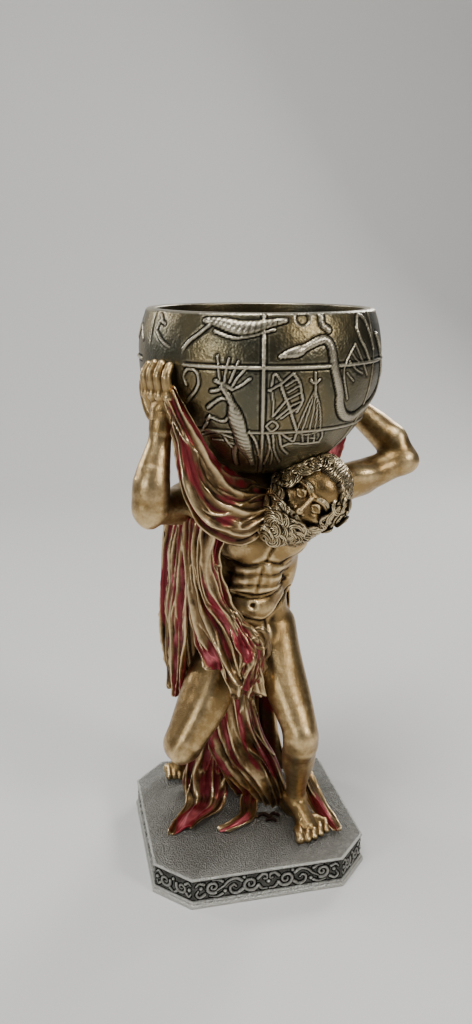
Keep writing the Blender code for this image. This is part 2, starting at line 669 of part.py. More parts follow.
def main():
    clear_scene()
    parts = new_collection("atlas_statue")
    cutters = new_collection("cutters")
    plinth = build_plinth(parts, cutters)
    figure = build_figure(parts, cutters)
    globe = build_globe(parts, cutters)
    finishes = ((plinth, "pewter", PEWTER), (figure, "bronze", BRONZE), (globe, "dark bronze", DARK_BRONZE))
    for obj, name, finish in finishes:
        obj.data.materials.append(material(name, finish))


main()
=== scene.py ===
import math

import bpy
import numpy as np
from mathutils import Matrix, Vector


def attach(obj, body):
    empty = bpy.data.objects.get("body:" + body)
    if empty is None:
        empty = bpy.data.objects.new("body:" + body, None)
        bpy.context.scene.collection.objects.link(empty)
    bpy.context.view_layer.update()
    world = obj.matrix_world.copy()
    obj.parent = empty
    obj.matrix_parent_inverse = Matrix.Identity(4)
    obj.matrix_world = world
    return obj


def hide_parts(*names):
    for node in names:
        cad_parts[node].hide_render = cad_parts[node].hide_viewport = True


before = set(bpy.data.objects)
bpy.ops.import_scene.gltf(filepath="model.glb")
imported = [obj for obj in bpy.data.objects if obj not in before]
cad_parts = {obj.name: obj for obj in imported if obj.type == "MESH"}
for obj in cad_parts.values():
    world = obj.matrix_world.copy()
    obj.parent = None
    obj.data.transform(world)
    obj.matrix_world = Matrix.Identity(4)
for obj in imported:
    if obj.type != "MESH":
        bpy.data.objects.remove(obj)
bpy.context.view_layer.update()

mm = 0.001   # everything below is drawn in millimetres, as the statue stands
deckHeight = 17.0
globeCentre = np.array([6.0, -1.6, 277.6])
globeRadius = 60.0
farOutside = 60.0                                   # what an empty lattice holds
golden = 0.618034                                   # spreads locks evenly without rows
random = np.random.default_rng(7)


# helpers for curves and meshes

def vec(*values):
    # the numbers as one array
    return np.array(values, float)


def unit(v):
    # v divided by its own length, row by row
    return v / (np.linalg.norm(v, axis=-1, keepdims=True) + 1e-9)


def smooth(low, high, x):
    # an S curve that goes from 0 at low to 1 at high
    t = np.clip((x - low) / (high - low), 0, 1)
    return t * t * (3 - 2 * t)


def through(points, count):
    # each stretch is the cubic that passes its two points with the slope of their neighbours
    points = np.asarray(points, float)
    last = len(points) - 1
    padded = np.concatenate([2 * points[:1] - points[1:2], points, 2 * points[-1:] - points[-2:-1]])
    place = np.linspace(0, last, count)
    index = np.minimum(place.astype(int), last - 1)
    t = (place - index).reshape((-1,) + (1,) * (points.ndim - 1))
    a, b, c, d = (padded[index + k] for k in range(4))
    return 0.5 * (2 * b + (c - a) * t + (2 * a - 5 * b + 4 * c - d) * t**2 + (3 * b - a - 3 * c + d) * t**3)


def noise(points, scale, seed, octaves=3):
    # smooth noise: lattice values mixed between the eight corners of each cube; each further layer is half
    # as long and half as high
    table = np.random.default_rng(seed).uniform(-1, 1, 4096)
    primes = (73856093, 19349663, 83492791)
    total, weight = 0, 1.0
    for octave in range(octaves):
        p = np.asarray(points, float) / scale * 2**octave + 17.3 * octave
        cell = np.floor(p).astype(np.int64)
        f = p - cell
        f = f * f * (3 - 2 * f)
        value = 0
        for corner in range(8):
            step = np.array([corner & 1, corner >> 1 & 1, corner >> 2 & 1])
            spot = cell + step
            mixed = spot[..., 0] * primes[0] ^ spot[..., 1] * primes[1] ^ spot[..., 2] * primes[2]
            pick = table[mixed & 4095]
            value = value + pick * np.prod(np.where(step == 1, f, 1 - f), axis=-1)
        total = total + weight * value
        weight *= 0.5
    return total


def gridFaces(rows, cols, closeCols=False):
    # four corners for each cell of a grid whose points are counted row by row
    i = np.arange(rows - 1)[:, None]
    j = np.arange(cols if closeCols else cols - 1)[None, :]
    a, b = i * cols + j, i * cols + (j + 1) % cols
    return np.stack([a, b, b + cols, a + cols], -1).reshape(-1, 4)


def closedRings(count, cols):
    # faces of count rings of cols points each, and a fan from each end ring to one of the two points
    # that follow them
    j = np.arange(cols)
    nextJ, last = (j + 1) % cols, (count - 1) * cols
    first = np.stack([nextJ, j, np.full(cols, count * cols)], -1)
    end = np.stack([last + j, last + nextJ, np.full(cols, count * cols + 1)], -1)
    return [gridFaces(count, cols, closeCols=True), np.concatenate([first, end])]


def faceGroups(faces):
    # faces with three and with four corners stand in arrays of their own; a single array is one group
    return faces if isinstance(faces, list) else [faces]


def makePiece(name, points, faces, material, slot, attributes):
    # points in millimetres and faces of three or four corners become one smooth mesh that rides on the root
    mesh = bpy.data.meshes.new(name)
    mesh.vertices.add(len(points))
    mesh.vertices.foreach_set("co", (np.asarray(points, float) * mm).astype(np.float32).ravel())
    groups = [np.asarray(group, np.int32) for group in faceGroups(faces)]
    corners = np.concatenate([group.ravel() for group in groups])
    counts = np.concatenate([np.full(len(group), group.shape[1]) for group in groups])
    mesh.loops.add(len(corners))
    mesh.loops.foreach_set("vertex_index", corners)
    mesh.polygons.add(len(counts))
    mesh.polygons.foreach_set("loop_start", np.concatenate([[0], np.cumsum(counts)[:-1]]).astype(np.int32))
    mesh.polygons.foreach_set("loop_total", counts.astype(np.int32))
    mesh.update(calc_edges=True)
    mesh.validate()
    for key, values in attributes.items():
        data = mesh.attributes.new(key, "FLOAT", "POINT").data
        data.foreach_set("value", np.asarray(values, np.float32).ravel())
    mesh.shade_smooth()
    mesh.materials.append(material)
    piece = bpy.data.objects.new(name, mesh)
    bpy.context.scene.collection.objects.link(piece)
    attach(piece, "root")
    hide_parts(slot)
    print("made", name, len(counts), "faces")
    return piece


def edgePairs(faces):
    # both directions of each side of each face
    pairs = np.concatenate([np.stack([face, np.roll(face, -1, axis=1)], -1).reshape(-1, 2)
                            for face in faceGroups(faces)])
    return np.concatenate([pairs, pairs[:, ::-1]])


def relax(points, pairs, rounds, share=0.5):
    # each point moves a share of the way to the mean of its neighbours
    degree = np.bincount(pairs[:, 0], minlength=len(points))[:, None]
    for _ in range(rounds):
        sums = [np.bincount(pairs[:, 0], column, len(points)) for column in points[pairs[:, 1]].T]
        total = np.stack(sums, -1)
        points = points + share * (total / degree - points)
    return points


def pointNormals(points, faces):
    # the mean of the crossed diagonals of the faces round each point
    total = np.zeros_like(points)
    for face in faceGroups(faces):
        cross = np.cross(points[face[:, 2]] - points[face[:, 0]], points[face[:, -1]] - points[face[:, 1]])
        for k in range(face.shape[1]):
            for axis in range(3):
                total[:, axis] += np.bincount(face[:, k], cross[:, axis], len(points))
    return unit(total)


def hollowness(points, faces, spread=6):
    # how far each point lies below (+) or above (-) the smoothed surface, in millimetres along its normal
    pairs = edgePairs(faces)
    flat = relax(points, pairs, spread)
    return np.sum((flat - points) * pointNormals(points, faces), axis=1)


# soft forms: distances to limbs and muscles, melted together on a lattice

def newField(low, high, cell):
    # an empty lattice over the box, every value far outside the form
    low, high = np.array(low, float), np.array(high, float)
    shape = np.ceil((high - low) / cell).astype(int) + 1
    return {"low": low, "cell": cell, "values": np.full(shape, farOutside, np.float32)}


def window(field, low, high):
    # the part of the lattice inside a box, and the place of its points
    first = np.clip(np.floor((low - field["low"]) / field["cell"]).astype(int), 0, None)
    last = np.minimum(np.ceil((high - field["low"]) / field["cell"]).astype(int) + 1, field["values"].shape)
    if np.any(last - first < 1):
        return None, None
    axes = [field["low"][k] + field["cell"] * np.arange(first[k], last[k]) for k in range(3)]
    place = np.stack(np.meshgrid(*axes, indexing="ij"), -1).astype(np.float32)
    return tuple(slice(a, b) for a, b in zip(first, last)), place


def melt(field, spot, distance, blend, carve=False):
    # smooth minimum of the two distances, or for a carving the smooth maximum with the distance turned round
    old = field["values"][spot]
    new = -distance if carve else distance
    sign = -1 if carve else 1
    h = np.clip(0.5 + 0.5 * sign * (old - new) / blend, 0, 1)
    field["values"][spot] = old * (1 - h) + new * h - sign * blend * h * (1 - h)


def addLimb(field, stations, blend=3.0, carve=False):
    # distance to each leg of the path, less a radius that changes evenly along the leg
    stations = np.asarray(stations, float)
    if len(stations) > 2 and not carve:
        stations = through(stations, 3 * len(stations) - 2)
    reach = stations[:, 3].max() + 2 * blend + 1
    spot, place = window(field, stations[:, :3].min(0) - reach, stations[:, :3].max(0) + reach)
    if spot is None:
        return
    nearest = np.full(place.shape[:3], farOutside, np.float32)
    for a, b in zip(stations[:-1], stations[1:]):
        along = b[:3] - a[:3]
        t = np.clip(((place - a[:3]) @ along) / (along @ along + 1e-9), 0, 1)
        away = np.linalg.norm(place - a[:3] - t[..., None] * along, axis=-1) - (a[3] + t * (b[3] - a[3]))
        nearest = np.minimum(nearest, away)
    melt(field, spot, nearest, blend, carve)


def addBall(field, centre, radii, blend=3.0, turn=None, carve=False):
    # distance to an ellipsoid, from the point scaled by the radii once and twice
    reach = max(radii) + 2 * blend + 1
    spot, place = window(field, np.array(centre) - reach, np.array(centre) + reach)
    if spot is None:
        return
    p = place - np.array(centre, np.float32)
    if turn is not None:
        p = p @ np.asarray(turn, np.float32)
    once = np.linalg.norm(p / np.array(radii, np.float32), axis=-1)
    twice = np.linalg.norm(p / np.array(radii, np.float32) ** 2, axis=-1)
    melt(field, spot, once * (once - 1) / (twice + 1e-6), blend, carve)


def netSurface(field):
    # surface nets: one point in each lattice cell that the surface crosses, at the mean of its crossings, and
    # one four-cornered face for each lattice edge that it crosses
    v = np.pad(field["values"], 1, constant_values=5.0)   # closes the surface where the box cuts it
    low = field["low"] - field["cell"]
    inside = v < 0
    shape = np.array(v.shape)
    count = np.zeros(shape - 1, np.int8)
    for corner in range(8):
        o = (corner & 1, corner >> 1 & 1, corner >> 2 & 1)
        count += inside[o[0]:shape[0] - 1 + o[0], o[1]:shape[1] - 1 + o[1], o[2]:shape[2] - 1 + o[2]]
    active = (count > 0) & (count < 8)
    index = np.full(count.shape, -1, np.int64)
    index[active] = np.arange(active.sum())
    cells = np.argwhere(active)
    total, hits = np.zeros((len(cells), 3)), np.zeros(len(cells))
    for axis in range(3):
        step = np.eye(3, dtype=int)[axis]
        others = [np.eye(3, dtype=int)[k] for k in range(3) if k != axis]
        for m in range(4):
            offset = others[0] * (m & 1) + others[1] * (m >> 1)
            a, b = cells + offset, cells + offset + step
            va, vb = v[tuple(a.T)], v[tuple(b.T)]
            crossed = (va < 0) != (vb < 0)
            t = np.where(crossed, va / np.where(va == vb, 1, va - vb), 0)
            total += crossed[:, None] * (offset + t[:, None] * step)
            hits += crossed
    points = low + field["cell"] * (cells + total / hits[:, None])
    faces = []
    for axis in range(3):
        step = np.eye(3, dtype=int)[axis]
        e1, e2 = np.eye(3, dtype=int)[(axis + 1) % 3], np.eye(3, dtype=int)[(axis + 2) % 3]
        a = inside[tuple(slice(0, -1) if k == axis else slice(1, -1) for k in range(3))]
        b = inside[tuple(slice(1, None) if k == axis else slice(1, -1) for k in range(3))]
        for first, second, flip in ((a, b, False), (b, a, True)):
            spot = np.argwhere(first & ~second) + (1 - step)
            quad = np.stack([index[tuple((spot - d).T)] for d in (0 * e1, e1, e1 + e2, e2)], -1)
            faces.append(quad[:, ::-1] if flip else quad)
    return points, np.concatenate(faces)


# the man

bodyForm = {
    "limbs": [   # paths of (x, y, z, radius)
        [(6, 3, 128, 13.5), (2, -2, 146, 13), (2, -5, 160, 14), (6, -5, 180, 15), (8, -2, 196, 12)],   # trunk
        [(-21, 1, 203, 10.5), (8, 5, 208, 11), (42, 5, 203, 10.5)],   # shoulders
        [(9, 0, 206, 9.5), (16, -18, 203, 8.6), (20, -24, 206, 8.4)],   # neck
        [(-21, -2, 203, 11.5), (-38, -19, 206, 9.6), (-55, -36, 210, 7.6)],   # right arm
        [(-55, -36, 210, 7.6), (-54, -36, 222, 8.7), (-49.5, -33, 240, 5.6), (-48, -32, 250, 5.0)],
        [(42, 5, 203, 11.3), (66, 5, 210, 9.3), (89, 6, 218, 7.6)],   # left arm
        [(89, 6, 218, 7.8), (82, 14, 230, 9.0), (66, 26, 245, 6.4), (61, 30, 251, 5.4)],
        [(16.5, 1, 129, 12.0), (17.0, -16, 107, 11.8), (21.0, -35, 86, 9.2), (22, -36, 76, 8.4)],   # left leg
        [(22, -36, 80, 8.4), (24, -27, 62, 8.9), (25.5, -19, 42, 6.0), (26, -16, 28, 5.2)],
        [(-8, 4, 125, 13.5), (-23, -7, 99, 13.2), (-38, -18, 74, 10.2)],   # right leg
        [(-38, -16, 72, 9.4), (-35, 3, 64, 9.2), (-32, 24, 51, 6.6), (-31, 37, 43, 5.0)],
        [(11, -9, 121, 6.0), (15.0, -24, 104, 6.4), (19.5, -38, 87, 4.6)],   # thighs
        [(20, -8, 117, 6.0), (22.5, -22, 102, 6.2), (24.0, -34, 88, 4.8)],
        [(-15, -9, 115, 6.5), (-27, -19, 95, 7.0), (-37, -23.5, 79, 5.4)],
        [(-8, -8, 112, 6.0), (-21, -18, 92, 6.6), (-33, -23.0, 77, 5.2)],
    ],
    "muscles": [   # centre, radii
        ((6, 3, 129), (20.5, 14.0, 15)), ((2, -3, 153), (17.5, 13.0, 20)), ((6, -5, 181), (21.5, 15.5, 22)),
        ((-7, 12, 126), (12, 11, 13)), ((16, 11, 127), (11, 11, 13)),   # seat
        ((-11, 3, 173), (8, 11, 25)), ((21.5, 3, 173), (8, 11, 26)), ((15.5, 0, 141), (7.5, 9, 13)),
        ((-2, -8, 146), (15, 10, 11)), ((4, -10, 129), (10, 7.5, 9)),
        ((-22, -4, 205), (11, 10, 9)), ((43, 3, 205), (11, 10, 9)),
        ((-34, -13, 210), (8, 8, 6)), ((62, 0, 213), (11, 7, 6)), ((64, 9, 204), (11, 7, 6)),
        ((-53, -39, 220), (6, 5, 10)), ((86, 8, 228), (5.5, 6, 8)),
        ((22.5, -22, 62), (6, 7, 12)), ((27.5, -22, 60), (5, 6, 11)), ((-36, 6, 60), (6, 9, 6)),
        ((21.3, -42.5, 83), (5.4, 3.6, 5.6)), ((22, -40, 75.5), (3.2, 3.2, 3.6)),
        ((-40.5, -25, 71.5), (5.2, 3.6, 5.6)), ((-55.5, -38, 205), (4.0, 4.5, 4.0)),
        ((93, 4.5, 217), (4, 4, 4)),
    ],
    "chest": [   # firmer forms, melted over a shorter way
        ((-5.5, -14.0, 183.5), (13.0, 7.6, 10.6)), ((18, -14.0, 183.5), (12.0, 7.6, 10.6)),
        ((-2.6, -14.6, 169.6), (6.6, 4.2, 3.8)), ((10.6, -14.6, 169.6), (6.4, 4.2, 3.8)),
        ((-4.2, -14.4, 163.4), (6.8, 4.2, 3.6)), ((9.0, -14.4, 163.4), (6.8, 4.2, 3.6)),
        ((-5.6, -14.2, 158.2), (6.8, 4.0, 2.8)), ((8.2, -14.2, 158.2), (6.8, 4.0, 2.8)),
        ((-0.5, -12.5, 147), (13.0, 7.0, 8.0)),
    ],
}
torsoLines = [   # cut into the front of the body: depth, width, points of (x, z)
    (0.9, 1.2, [(-14, 175.6), (-6.1, 171.8), (1.3, 172.4), (6.1, 173.9), (13.6, 171.5), (20.0, 173.7),
                (26.5, 177.4)]),
    (0.7, 1.0, [(11.4, 190), (10.2, 182.6), (7.6, 177.9), (6.1, 173.7)]),
    (0.55, 1.0, [(4.6, 171.5), (3.0, 164.0), (1.5, 157.5)]),
    (0.4, 0.9, [(-11.3, 165.7), (-1.8, 166.8), (4.6, 166.5), (11.6, 165.2), (18.0, 166.4)]),
    (0.4, 0.9, [(-10.2, 160.1), (-1.8, 160.8), (4.7, 160.0), (11.7, 159.1), (18.6, 160.8)]),
    (0.95, 0.75, [(-11, 157.4), (-0.6, 155.3), (6.3, 155.0), (15.0, 156.5), (20.5, 158.4)]),
    (0.65, 0.65, [(-9.0, 154.6), (-0.6, 153.2), (6.4, 152.9), (13.9, 154.2), (18.6, 155.8)]),
    (1.1, 1.0, [(-9.5, 145.5), (-2.7, 141.9), (3.5, 139.4), (7.0, 139.4), (9.8, 141.1), (14.5, 144.4),
                (19.5, 148.7), (24, 152.5)]),
    (0.8, 0.9, [(7.6, 139.0), (8.6, 132), (8.8, 125), (8.0, 118)]),
    (0.5, 0.8, [(14.5, 171.2), (18.4, 169.6), (21.6, 170.6)]),
    (0.5, 0.8, [(15.5, 166.2), (19.0, 164.6), (21.2, 165.2)]),
    (0.5, 0.8, [(16.0, 161.0), (19.0, 159.6), (21.6, 160.2)]),
    (0.5, 0.9, [(12.0, 190.5), (18, 193.4), (26, 193.0)]),
    (-0.3, 1.4, [(7.2, 170.8), (9.0, 163.5), (8.0, 158.0)]),
    (-0.3, 1.4, [(-4.0, 170.0), (-4.6, 163.5), (-5.0, 158.5)]),
    (-0.45, 0.7, [(-8.0, 147.5), (-2.5, 143.9), (5.5, 141.6), (9.0, 143.2), (18.8, 150.6)]),
]
navel = (-0.6, 149.9)
headForm = {
    "centre": vec(24, -29.5, 209.5),   # with the size and the tilt, from the outline of the hair and beard
    "size": 1.15,
    "forward": vec(-0.28, -0.95, 0.10),
    "crown": vec(0.72, -0.14, 0.68),
    "scalp": (vec(0, 2.8, 4.0), vec(13.2, 15.3, 14.2)),
}
handForm = {
    "right": {"wrist": (-48, -32, 248, 5.2), "longitude": -152, "thumb": -1},
    "left": {"wrist": (61, 30, 250, 5.4), "longitude": 33, "thumb": 1},
}


def headAxes():
    # the head's own axes as columns: his left, the back of the head, the crown
    back = -unit(headForm["forward"])
    up = unit(headForm["crown"] - headForm["crown"] @ back * back)
    return np.stack([np.cross(back, up), back, up], axis=1)


def onHead(points):
    # head millimetres, turned and moved to where the head is
    return headForm["centre"] + headForm["size"] * (np.asarray(points, float) @ headAxes().T)


def onGlobe(longitude, latitude, lift=0.0):
    # the point of the sphere at that longitude and latitude, lifted off it
    lon, lat = np.radians(longitude), np.radians(latitude)
    out = np.stack([np.cos(lon) * np.cos(lat), np.sin(lon) * np.cos(lat), np.sin(lat) + 0 * lon], -1)
    return globeCentre + out * (globeRadius + np.asarray(lift)[..., None])


def shapeBody(field):
    # limbs, then muscles, then the firmer forms of the chest, each melted over a shorter way
    for path in bodyForm["limbs"]:
        addLimb(field, path, 4.0)
    for centre, radii in bodyForm["muscles"]:
        addBall(field, centre, radii, 3.5)
    for centre, radii in bodyForm["chest"]:
        addBall(field, centre, radii, 2.2)


def shapeHands(field):
    # both hands laid on the globe
    for hand in handForm.values():
        shapeHand(field, hand)


def shapeHand(field, hand):
    # the back of the hand, four fingers of three joints laid up the globe, and the thumb towards the back
    wrist = np.array(hand["wrist"])
    middle = hand["longitude"]
    palm = onGlobe(middle, -20, 5.0)
    addLimb(field, [wrist, (*palm, 5.0)], 3.0)
    for finger in range(4):
        across = middle + hand["thumb"] * (finger - 1.5) * 5.3
        long = (0.86, 1.0, 0.96, 0.72)[finger]
        lats = [-22, -13.5, -7.0 + 1.5 * long, -1.5 + 4 * (long - 0.8)]
        lifts = [4.0, 4.6, 4.8, 2.2]
        radii = [3.1, 2.5, 2.25, 1.9]
        joints = [(*onGlobe(across * 0.94 + middle * 0.06, a, b), r) for a, b, r in zip(lats, lifts, radii)]
        addLimb(field, [(*onGlobe((across + middle) / 2, -27, 4.0), 3.4), joints[0], joints[1]], 1.6)
        addLimb(field, joints[1:], 0.35)
        addBall(field, onGlobe(across, lats[1], 5.6), (2.5, 2.5, 2.5), 1.2)
    side = hand["thumb"]
    addLimb(field, [(*onGlobe(middle + side * 4, -30, 4.0), 3.8),
                    (*onGlobe(middle + side * 13, -24, 4.2), 3.0),
                    (*onGlobe(middle + side * 17, -15, 2.6), 2.4),
                    (*onGlobe(middle + side * 17, -10, 1.8), 2.0)], 1.5)


def shapeFeet(field):
    # left: ankle, heel, instep and toes flat on the deck. right: on its toes behind him
    addLimb(field, [(26, -15, 30, 5.2), (24, -9, 23, 5.4), (23, -7, 21, 4.6)], 3)
    addLimb(field, [(26, -16, 28, 5.4), (27.5, -25, 24, 5.0), (29, -31, 21, 4.0)], 3)
    addBall(field, (31.2, -15, 29.5), (2.0, 2.6, 2.8), 1.5)
    addBall(field, (20.8, -15, 30.5), (2.0, 2.6, 2.8), 1.5)
    addLimb(field, [(23.5, -12, 20, 3.6), (30, -20, 20, 3.4), (34, -27, 19.6, 3.2)], 2.5)
    for toe in range(5):
        x, y = 22.4 + 4.1 * toe, -38.8 + (0, -0.4, 0.9, 2.6, 4.8)[toe]
        girth = (2.7, 2.1, 2.0, 1.9, 1.8)[toe]
        addLimb(field, [(27 + 2.3 * toe, -26.5, 21.2 - 0.3 * toe, 3.2), (x + 0.9, y + 6.5, 20.2, girth)], 2.0)
        addLimb(field, [(x + 0.9, y + 6.5, 20.2, girth), (x + 0.3, y + 2.5, 20.3, girth * 0.95),
                        (x, y, 18.8, girth)], 0.4)
    addLimb(field, [(-31, 36, 43, 5.0), (-31, 42.5, 42, 5.2)], 3)
    addLimb(field, [(-31, 39, 41, 5.2), (-31.5, 41.5, 31, 4.8), (-32, 39.5, 23, 4.2)], 3)
    addBall(field, (-26, 36, 44), (2.0, 2.4, 2.6), 1.5)
    addBall(field, (-36.2, 36, 43), (2.0, 2.4, 2.6), 1.5)
    for toe in range(5):
        x = -25.6 - 3.2 * toe
        addLimb(field, [(x, 40, 22.5, 3.0), (x - 0.2, 35, 20.0, 2.1), (x - 0.2, 32.4 + 0.9 * toe, 18.9, 2.0)],
                0.8)


def shapeHead(field):
    # skull, brow, sockets, eyes and lids, nose, cheeks, lips, chin, ears and the mass under the beard
    turn, size = headAxes(), headForm["size"]

    def form(centre, radii, blend=1.2, carve=False):   # a ball placed, sized and turned with the head
        addBall(field, onHead(centre), [size * r for r in radii], blend, turn, carve)

    def line(path, blend=0.8, carve=False):   # a limb through head places, each with its radius
        path = np.array(path, float)
        addLimb(field, np.c_[onHead(path[:, :3]), size * path[:, 3]], blend, carve)

    form((0, 2.5, 4), (12.2, 14.3, 13.3), 2)
    form((0, -4, -5.5), (9.4, 9.0, 11.0), 3)
    form((0, -6.0, 8), (9.6, 6.8, 7.0), 2.5)
    form((0, -10.2, -15.0), (4.2, 3.4, 3.4), 2.5)
    for side in (-1, 1):
        form((side * 6.3, -8.6, -3.4), (3.6, 3.4, 3.2), 2.2)
        form((side * 11.4, 1.5, -1), (1.8, 2.8, 4.0), 1.0)
        form((side * 4.5, -13.2, 0.7), (3.1, 2.7, 1.9), 1.0, carve=True)
        form((side * 4.4, -10.3, 0.6), (2.3, 2.3, 2.2), 0.25)
        line([(side * 2.2, -12.0, 0.2, 0.45), (side * 3.4, -12.7, 1.6, 0.55), (side * 4.8, -12.7, 1.9, 0.6),
              (side * 6.9, -11.2, 0.4, 0.45)], 0.3)
        line([(side * 2.2, -12.0, 0.1, 0.4), (side * 4.4, -12.5, -1.1, 0.45), (side * 6.8, -11.2, 0.2, 0.4)],
             0.3)
        line([(side * 1.6, -12.2, 3.2, 0.9), (side * 4.4, -12.2, 4.3, 1.0), (side * 8.2, -9.6, 3.2, 0.8)],
             1.6)
        form((side * 1.9, -13.9, -4.9), (1.35, 1.5, 1.2), 0.5)
        form((side * 1.0, -15.3, -5.9), (0.5, 0.7, 0.4), 0.3, carve=True)
        form((side * 8.5, -2.5, -9), (3.8, 5.0, 8.0), 2)
    line([(0, -12.0, 3.0, 1.25), (0, -13.6, 0.0, 1.15), (0, -15.2, -3.0, 1.45), (0, -16.2, -4.7, 1.75)], 0.8)
    line([(-3.2, -11.7, -9.3, 0.6), (-1.2, -13.2, -8.8, 0.85), (0, -13.3, -9.0, 0.8),
          (1.2, -13.2, -8.8, 0.85),
          (3.2, -11.7, -9.3, 0.6)], 0.5)
    line([(-2.8, -11.8, -10.2, 0.7), (0, -13.0, -10.8, 1.05), (2.8, -11.8, -10.2, 0.7)], 0.4)
    line([(-2.6, -13.6, -9.7, 0.2), (0, -14.4, -9.8, 0.25), (2.6, -13.6, -9.7, 0.2)], 0.25, carve=True)
    form((0, -7.0, -15.0), (10.0, 6.8, 7.5), 2.5)
    scalp, radii = headForm["scalp"]
    form(scalp + vec(0, 2.2, 1.0), radii * 0.96, 1.0)


def trimField(field, deckGap=0.35, globeGap=0.35):
    # keeps the flesh off the deck and off the globe: smooth maximum with the half space and the sphere
    v = field["values"]
    axes = [field["low"][k] + field["cell"] * np.arange(v.shape[k]) for k in range(3)]
    x, y, z = np.meshgrid(*axes, indexing="ij", sparse=True)
    away = np.sqrt((x - globeCentre[0])**2 + (y - globeCentre[1])**2 + (z - globeCentre[2])**2)
    v = np.maximum(v, (globeRadius + globeGap - away).astype(np.float32))
    field["values"] = np.maximum(v, (deckHeight + deckGap - z + 0 * x + 0 * y).astype(np.float32))


def clearBox(field, low, high, overlap=2.2):
    # empties a box of the lattice, where a finer piece takes over; the two overlap a little
    spot, _ = window(field, np.array(low, float) + overlap, np.array(high, float) - overlap)
    field["values"][spot] = np.maximum(field["values"][spot], 0.6 * field["cell"])


def cutLines(points, faces):
    # what faces the front is moved back along its normal by depth * exp(-(distance to the line / width)^2),
    # seen from the front, and the navel by a small round of the same kind
    normal = pointNormals(points, faces)
    frontness = smooth(0.1, 0.5, -normal[:, 1]) * (points[:, 1] < -2)
    flat = points[:, [0, 2]]
    move = np.zeros(len(points))
    for depth, width, line in torsoLines:
        line = through(line, 5 * len(line))
        nearest = np.full(len(points), 99.0)
        for a, b in zip(line[:-1], line[1:]):
            t = np.clip((flat - a) @ (b - a) / ((b - a) @ (b - a) + 1e-9), 0, 1)
            nearest = np.minimum(nearest, np.linalg.norm(flat - a - t[:, None] * (b - a), axis=1))
        move += depth * np.exp(-(nearest / width) ** 2)
    x, z = navel
    off = np.hypot((flat[:, 0] - x) / 1.1, flat[:, 1] - z)
    move += 1.5 * np.exp(-(off / 1.3) ** 2) - 0.45 * np.exp(-((off - 2.3) / 0.8) ** 2)
    return points - normal * (move * frontness)[:, None]


def insideBy(points, low, high):
    # how far each point lies inside the box, less than 0 outside
    return np.minimum(points - np.array(low), np.array(high) - points).min(axis=1)


def hairline(azimuth):
    # the angle above the scalp's waist where the hair starts: high over the brow, and down to the ears
    # at the sides
    return 0.66 - 0.42 * np.minimum(np.abs(azimuth), 1.6) ** 2


def underHair(points):
    # 1 where the hair or the beard covers the head, from the angles of each point on the scalp ellipsoid
    centre, radii = headForm["scalp"]
    local = ((points - headForm["centre"]) / headForm["size"]) @ headAxes()
    rel = (local - centre) / radii
    azimuth = np.arctan2(rel[:, 0], -rel[:, 1])
    height = np.arctan2(rel[:, 2], np.hypot(rel[:, 0], rel[:, 1]))
    jaw = smooth(-10.0, -13.0, local[:, 2] - 0.035 * local[:, 0] ** 2)
    return np.maximum(smooth(0.16, 0.34, height - hairline(azimuth)), 0.7 * jaw)


def settle(points, pairs):
    # evens out the lattice's steps without shrinking: each round moves in and then a little further out
    for _ in range(3):
        points = relax(relax(points, pairs, 1, 0.5), pairs, 1, -0.52)
    return points


fineBoxes = {   # name, lowest corner, highest corner, cell
    "head": ((-4, -56, 183), (50, 0, 238), 0.46),
    "rightHand": ((-66, -50, 246), (-34, -10, 286), 0.46),
    "leftHand": ((36, 16, 249), (76, 58, 288), 0.56),
    "leftFoot": ((16, -45, 16), (44, -1, 33), 0.48),
    "rightFoot": ((-44, 26, 16), (-22, 52, 46), 0.58),
}


def makeFigure(material):
    # the whole body at a coarse step, and the boxes of head, hands and feet at a finer one. the hollows
    # fade out where two of them meet
    whole = newField((-68, -56, 15), (104, 56, 266), 0.95)
    shapeBody(whole)
    shapeFeet(whole)
    shapeHands(whole)
    trimField(whole)
    for name, (low, high, _) in fineBoxes.items():
        if name != "head":
            clearBox(whole, low, high)
    points, faces = netSurface(whole)
    points = cutLines(settle(points, edgePairs(faces)), faces)
    # the fine term darkens the small hollows as patina and painted shade; the broad one darkens the gaps
    # between muscles and lightens their tops as painted shade and painted highlight
    hollow = hollowness(points, faces, 10) + 0.05 * hollowness(points, faces, 40)
    for low, high, _ in fineBoxes.values():
        hollow = hollow * (1 - smooth(-1.0, 0.8, insideBy(points, low, high)))
    made = [makePiece("figureSkin", points, faces, material, "atlas_figure", {"hollow": hollow})]
    for name, (low, high, cell) in fineBoxes.items():
        field = newField(low, high, cell)
        if name == "head":
            shapeHead(field)
        else:
            shapeBody(field)
            shapeFeet(field)
            shapeHands(field)
        trimField(field)
        points, faces = netSurface(field)
        points = settle(points, edgePairs(faces))
        hollow = hollowness(points, faces, 12) * smooth(1.0, 4.0, insideBy(points, low, high))
        # on the head, the skin under the hair and beard is darkened further as painted shade
        made.append(makePiece(name + "Skin", points, faces, material, "atlas_figure",
                              {"hollow": hollow + 0.22 * underHair(points) if name == "head" else hollow}))
    return made


# the cloak

